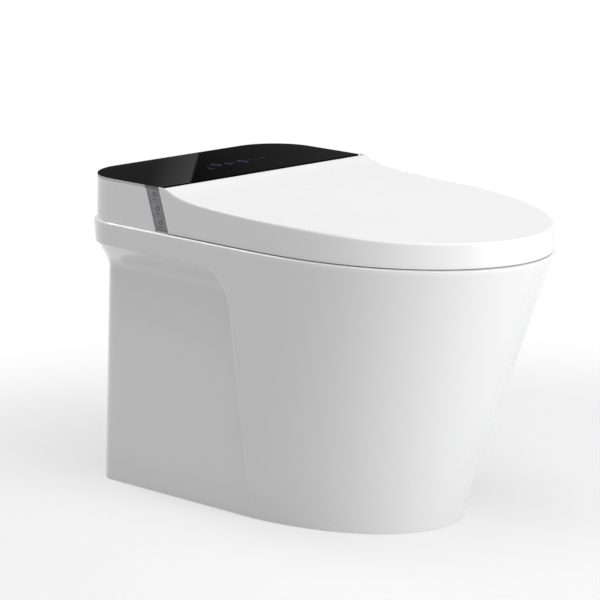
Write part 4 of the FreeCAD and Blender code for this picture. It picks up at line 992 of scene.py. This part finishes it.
# the seat
seat = {
    "half": 192, "nose": -327, "rear": 118, "low": 388, "bend": -1, "long": 2.48, "wide": 1.96, "corner": 24,
    "holeHalf": 106, "holeHalfLength": 134, "holeY": -93, "outerRound": 7, "innerRound": 9, "dish": 2.5,
    "profile": [(-350, 403), (-240, 405.5), (-140, 406), (-30, 406.5), (22, 410), (62, 418.5), (100, 422.5),
                (140, 423.5)],
    "columns": 144, "acrossRows": 14, "cowlHalf": 153, "cowlFront": 44, "cowlRear": 170,
    "cowlLow": 370, "cowlTop": 411,
}

# (y, z) of an arm's four corners: front or rear, lower or upper
seatArm = {(-1, -1): (100, 412.5), (1, -1): (141, 425), (-1, 1): (100, 421.5), (1, 1): (133, 437)}


def seatReach(turn, inset):
    # the distance from the hole's middle to the seat's outline in direction turn, by bisection
    plan = {"half": seat["half"] - inset, "middle": seat["half"] - inset, "bend": seat["bend"],
            "nose": seat["nose"] + inset, "corner": seat["corner"], "long": seat["long"], "wide": seat["wide"]}
    rear, corner = seat["rear"] - inset, seat["corner"]

    def inside(reach):
        x, y = abs(reach * math.cos(turn)), seat["holeY"] + reach * math.sin(turn)
        if y > rear or y < plan["nose"]:
            return False
        if y > rear - corner:
            if x > plan["half"] - corner:
                return math.hypot(x - plan["half"] + corner, y - rear + corner) < corner
            return True
        return x < halfAt(plan, y, rear)

    low, high = 0, 400
    for _ in range(30):
        middle = (low + high) / 2
        low, high = (middle, high) if inside(middle) else (low, middle)
    return low


def makeSeat():
    turns = [2 * math.pi * i / seat["columns"] for i in range(seat["columns"] + 1)]
    outer = [[seatReach(turn, inset) for turn in turns] for inset in (0, seat["outerRound"])]
    rows = [("outerFoot", 0)] + [("outer", turn) for turn in (0, 18, 36, 54, 72, 90)]
    rows += [("across", i / seat["acrossRows"]) for i in range(1, seat["acrossRows"])]
    rows += [("inner", turn) for turn in (90, 72, 54, 36, 18, 0)] + [("innerFoot", 0)]

    def surface(x, y):
        return alongPoints(seat["profile"], y)

    def place(column, row):
        turn, (part, share) = turns[column], rows[row]
        direction = Vector((math.cos(turn), math.sin(turn), 0))
        hole = 1 / math.hypot(math.cos(turn) / seat["holeHalf"], math.sin(turn) / seat["holeHalfLength"])
        edge, settled = outer[0][column], outer[1][column]
        inner = hole + seat["innerRound"]
        middle = Vector((0, seat["holeY"], 0))

        def topAt(reach):
            point = middle + direction * reach
            across = min(max((settled - reach) / (settled - inner), 0), 1)
            point.z = surface(point.x, point.y) - seat["dish"] * ease(across)
            return point

        if part == "across":
            return topAt(mix(settled, inner, share))
        if part == "outer":
            angle = math.radians(share)
            point = topAt(settled)
            height = point.z - seat["outerRound"] * (1 - math.sin(angle))
            point = middle + direction * mix(edge, settled, 1 - math.cos(angle))
            point.z = height
            return point
        if part == "inner":
            angle = math.radians(share)
            height = topAt(inner).z - seat["innerRound"] * (1 - math.sin(angle))
            point = middle + direction * (hole + seat["innerRound"] * (1 - math.cos(angle)))
            point.z = height
            return point
        point = middle + direction * (edge if part == "outerFoot" else hole)
        point.z = seat["low"]
        return point

    patch = gridPatch("seatTop", seat["columns"] + 1, len(rows), place)
    editMode(patch)
    bpy.ops.mesh.select_all(action="SELECT")
    bpy.ops.mesh.remove_doubles(threshold=0.02)
    pick(patch, lambda p: p.z < seat["low"] + touch)
    bpy.ops.mesh.select_mode(type="EDGE")
    bpy.ops.mesh.bridge_edge_loops()
    bpy.ops.object.mode_set(mode="OBJECT")
    turnOutward(patch)
    half = seat["cowlHalf"]
    carve(patch, boxTool((-half, seat["cowlFront"], seat["cowlLow"]), (half, seat["cowlRear"], seat["cowlTop"])))
    return patch


def addSeatArms(top):
    # an arm with a knuckle on each side, beside the lid's ears on the same shafts
    for side in (-1, 1):
        x0, x1 = sorted(side * x for x in hinge["seatEar"])
        bpy.ops.mesh.primitive_cube_add(size=2)
        arm = bpy.context.object
        for vertex in arm.data.vertices:
            spot = seatArm[(round(vertex.co.y), round(vertex.co.z))]
            vertex.co = (x1 if vertex.co.x > 0 else x0, *spot)
        carve(top, addKnuckle(arm, x0, x1), "UNION")
    return top


seatTop = addSeatArms(makeSeat())
finishPiece(seatTop, finishes["white_seat"], "seat", ["seat_top", "seat_base"])
print("seat done")


# the stage, the lamps and the camera
# distances in metres: near the object the floor is a matt white, further out it fades to plain white
stage = {"floor": 60.0, "below": 0.0004, "world": 0.405, "bounce": 0.6, "shown": 0.98, "glow": 0.4,
         "clearFrom": 0.55, "clearTo": 1.1}


def seenByCamera(tree):
    # 1 for camera, glossy and transmission rays, 0 for the light that falls on the object
    path = addNode(tree, "LightPath")
    seen = mathOf(tree, "MAXIMUM", path.outputs["Is Camera Ray"], path.outputs["Is Glossy Ray"])
    return mathOf(tree, "MAXIMUM", seen, path.outputs["Is Transmission Ray"])


def makeStage():
    bpy.ops.mesh.primitive_plane_add(size=stage["floor"], location=(0, 0, -stage["below"]))
    floor = bpy.context.object
    floor.name = "studioFloor"
    look = bpy.data.materials.new("studioFloor")
    look.use_nodes = True
    tree = look.node_tree
    tree.nodes.clear()
    matt, shown = (addNode(tree, "BsdfDiffuse", {"Color": (*[stage[tone]] * 3, 1)}) for tone in ("bounce", "shown"))
    distance = addNode(tree, "VectorMath", {0: objectPlace(tree)}, "LENGTH").outputs["Value"]
    clear = ranged(tree, distance, stage["clearFrom"], stage["clearTo"], low=stage["glow"], smooth=True)
    glow = addNode(tree, "Emission")
    blend = addNode(tree, "MixShader", {0: clear, 1: shown.outputs[0], 2: glow.outputs[0]})
    choice = addNode(tree, "MixShader", {0: seenByCamera(tree), 1: matt.outputs[0], 2: blend.outputs[0]})
    addNode(tree, "OutputMaterial", {"Surface": choice.outputs[0]})
    floor.data.materials.append(look)


def makeWorld():
    world = bpy.data.worlds.new("studioWorld")
    bpy.context.scene.world = world
    world.use_nodes = True
    tree = world.node_tree
    level = ranged(tree, seenByCamera(tree), 0, 1, low=stage["world"])
    fillSockets(tree, tree.nodes["Background"], {"Color": (1, 1, 1, 1), "Strength": level})


lamps = {
    "front": {"at": (0.2, -2.6, 0.75), "size": 1.1, "watts": 38},
    "above": {"at": (-0.4, -0.3, 2.4), "size": 1.8, "watts": 18},
    "behind": {"at": (-0.07, 1.9, 2.25), "size": 0.75, "watts": 8},
}
lampTarget = (0, -0.02, 0.25)


def makeLamps():
    for name, lamp in lamps.items():
        light = bpy.data.lights.new(name, "AREA")
        light.energy, light.size = lamp["watts"], lamp["size"]
        holder = bpy.data.objects.new(name, light)
        bpy.context.collection.objects.link(holder)
        holder.location = lamp["at"]
        aim = Vector(lampTarget) - holder.location
        holder.rotation_euler = aim.to_track_quat("-Z", "Y").to_euler()


# the fitted camera: degrees and metres, and where its target stands in a picture of "frame" pixels
view = {"azimuth": 44.63, "elevation": 12.34, "distance": 4.1206, "target": (0, -0.015, 0.22),
        "targetPixel": (349.95, 347.47), "frame": 600, "focal": 3000, "sensor": 36}


def makeCamera():
    turn, rise = math.radians(view["azimuth"]), math.radians(view["elevation"])
    look = Vector((math.sin(turn) * math.cos(rise), math.cos(turn) * math.cos(rise), -math.sin(rise)))
    right = Vector((math.cos(turn), -math.sin(turn), 0))
    up = right.cross(look)
    aside, below = ((pixel - view["frame"] / 2) / view["focal"] * view["distance"] for pixel in view["targetPixel"])
    place = Vector(view["target"]) - look * view["distance"] - right * aside + up * below
    data = bpy.data.cameras.new("photoCamera")
    data.sensor_width = view["sensor"]
    data.lens = view["focal"] / view["frame"] * view["sensor"]
    camera = bpy.data.objects.new("photoCamera", data)
    bpy.context.collection.objects.link(camera)
    camera.matrix_world = Matrix.Translation(place) @ Matrix((right, up, -look)).transposed().to_4x4()
    bpy.context.scene.camera = camera


makeStage()
makeWorld()
makeLamps()
makeCamera()
bpy.context.scene.view_settings.view_transform = "Standard"
print("stage, lamps and camera done")
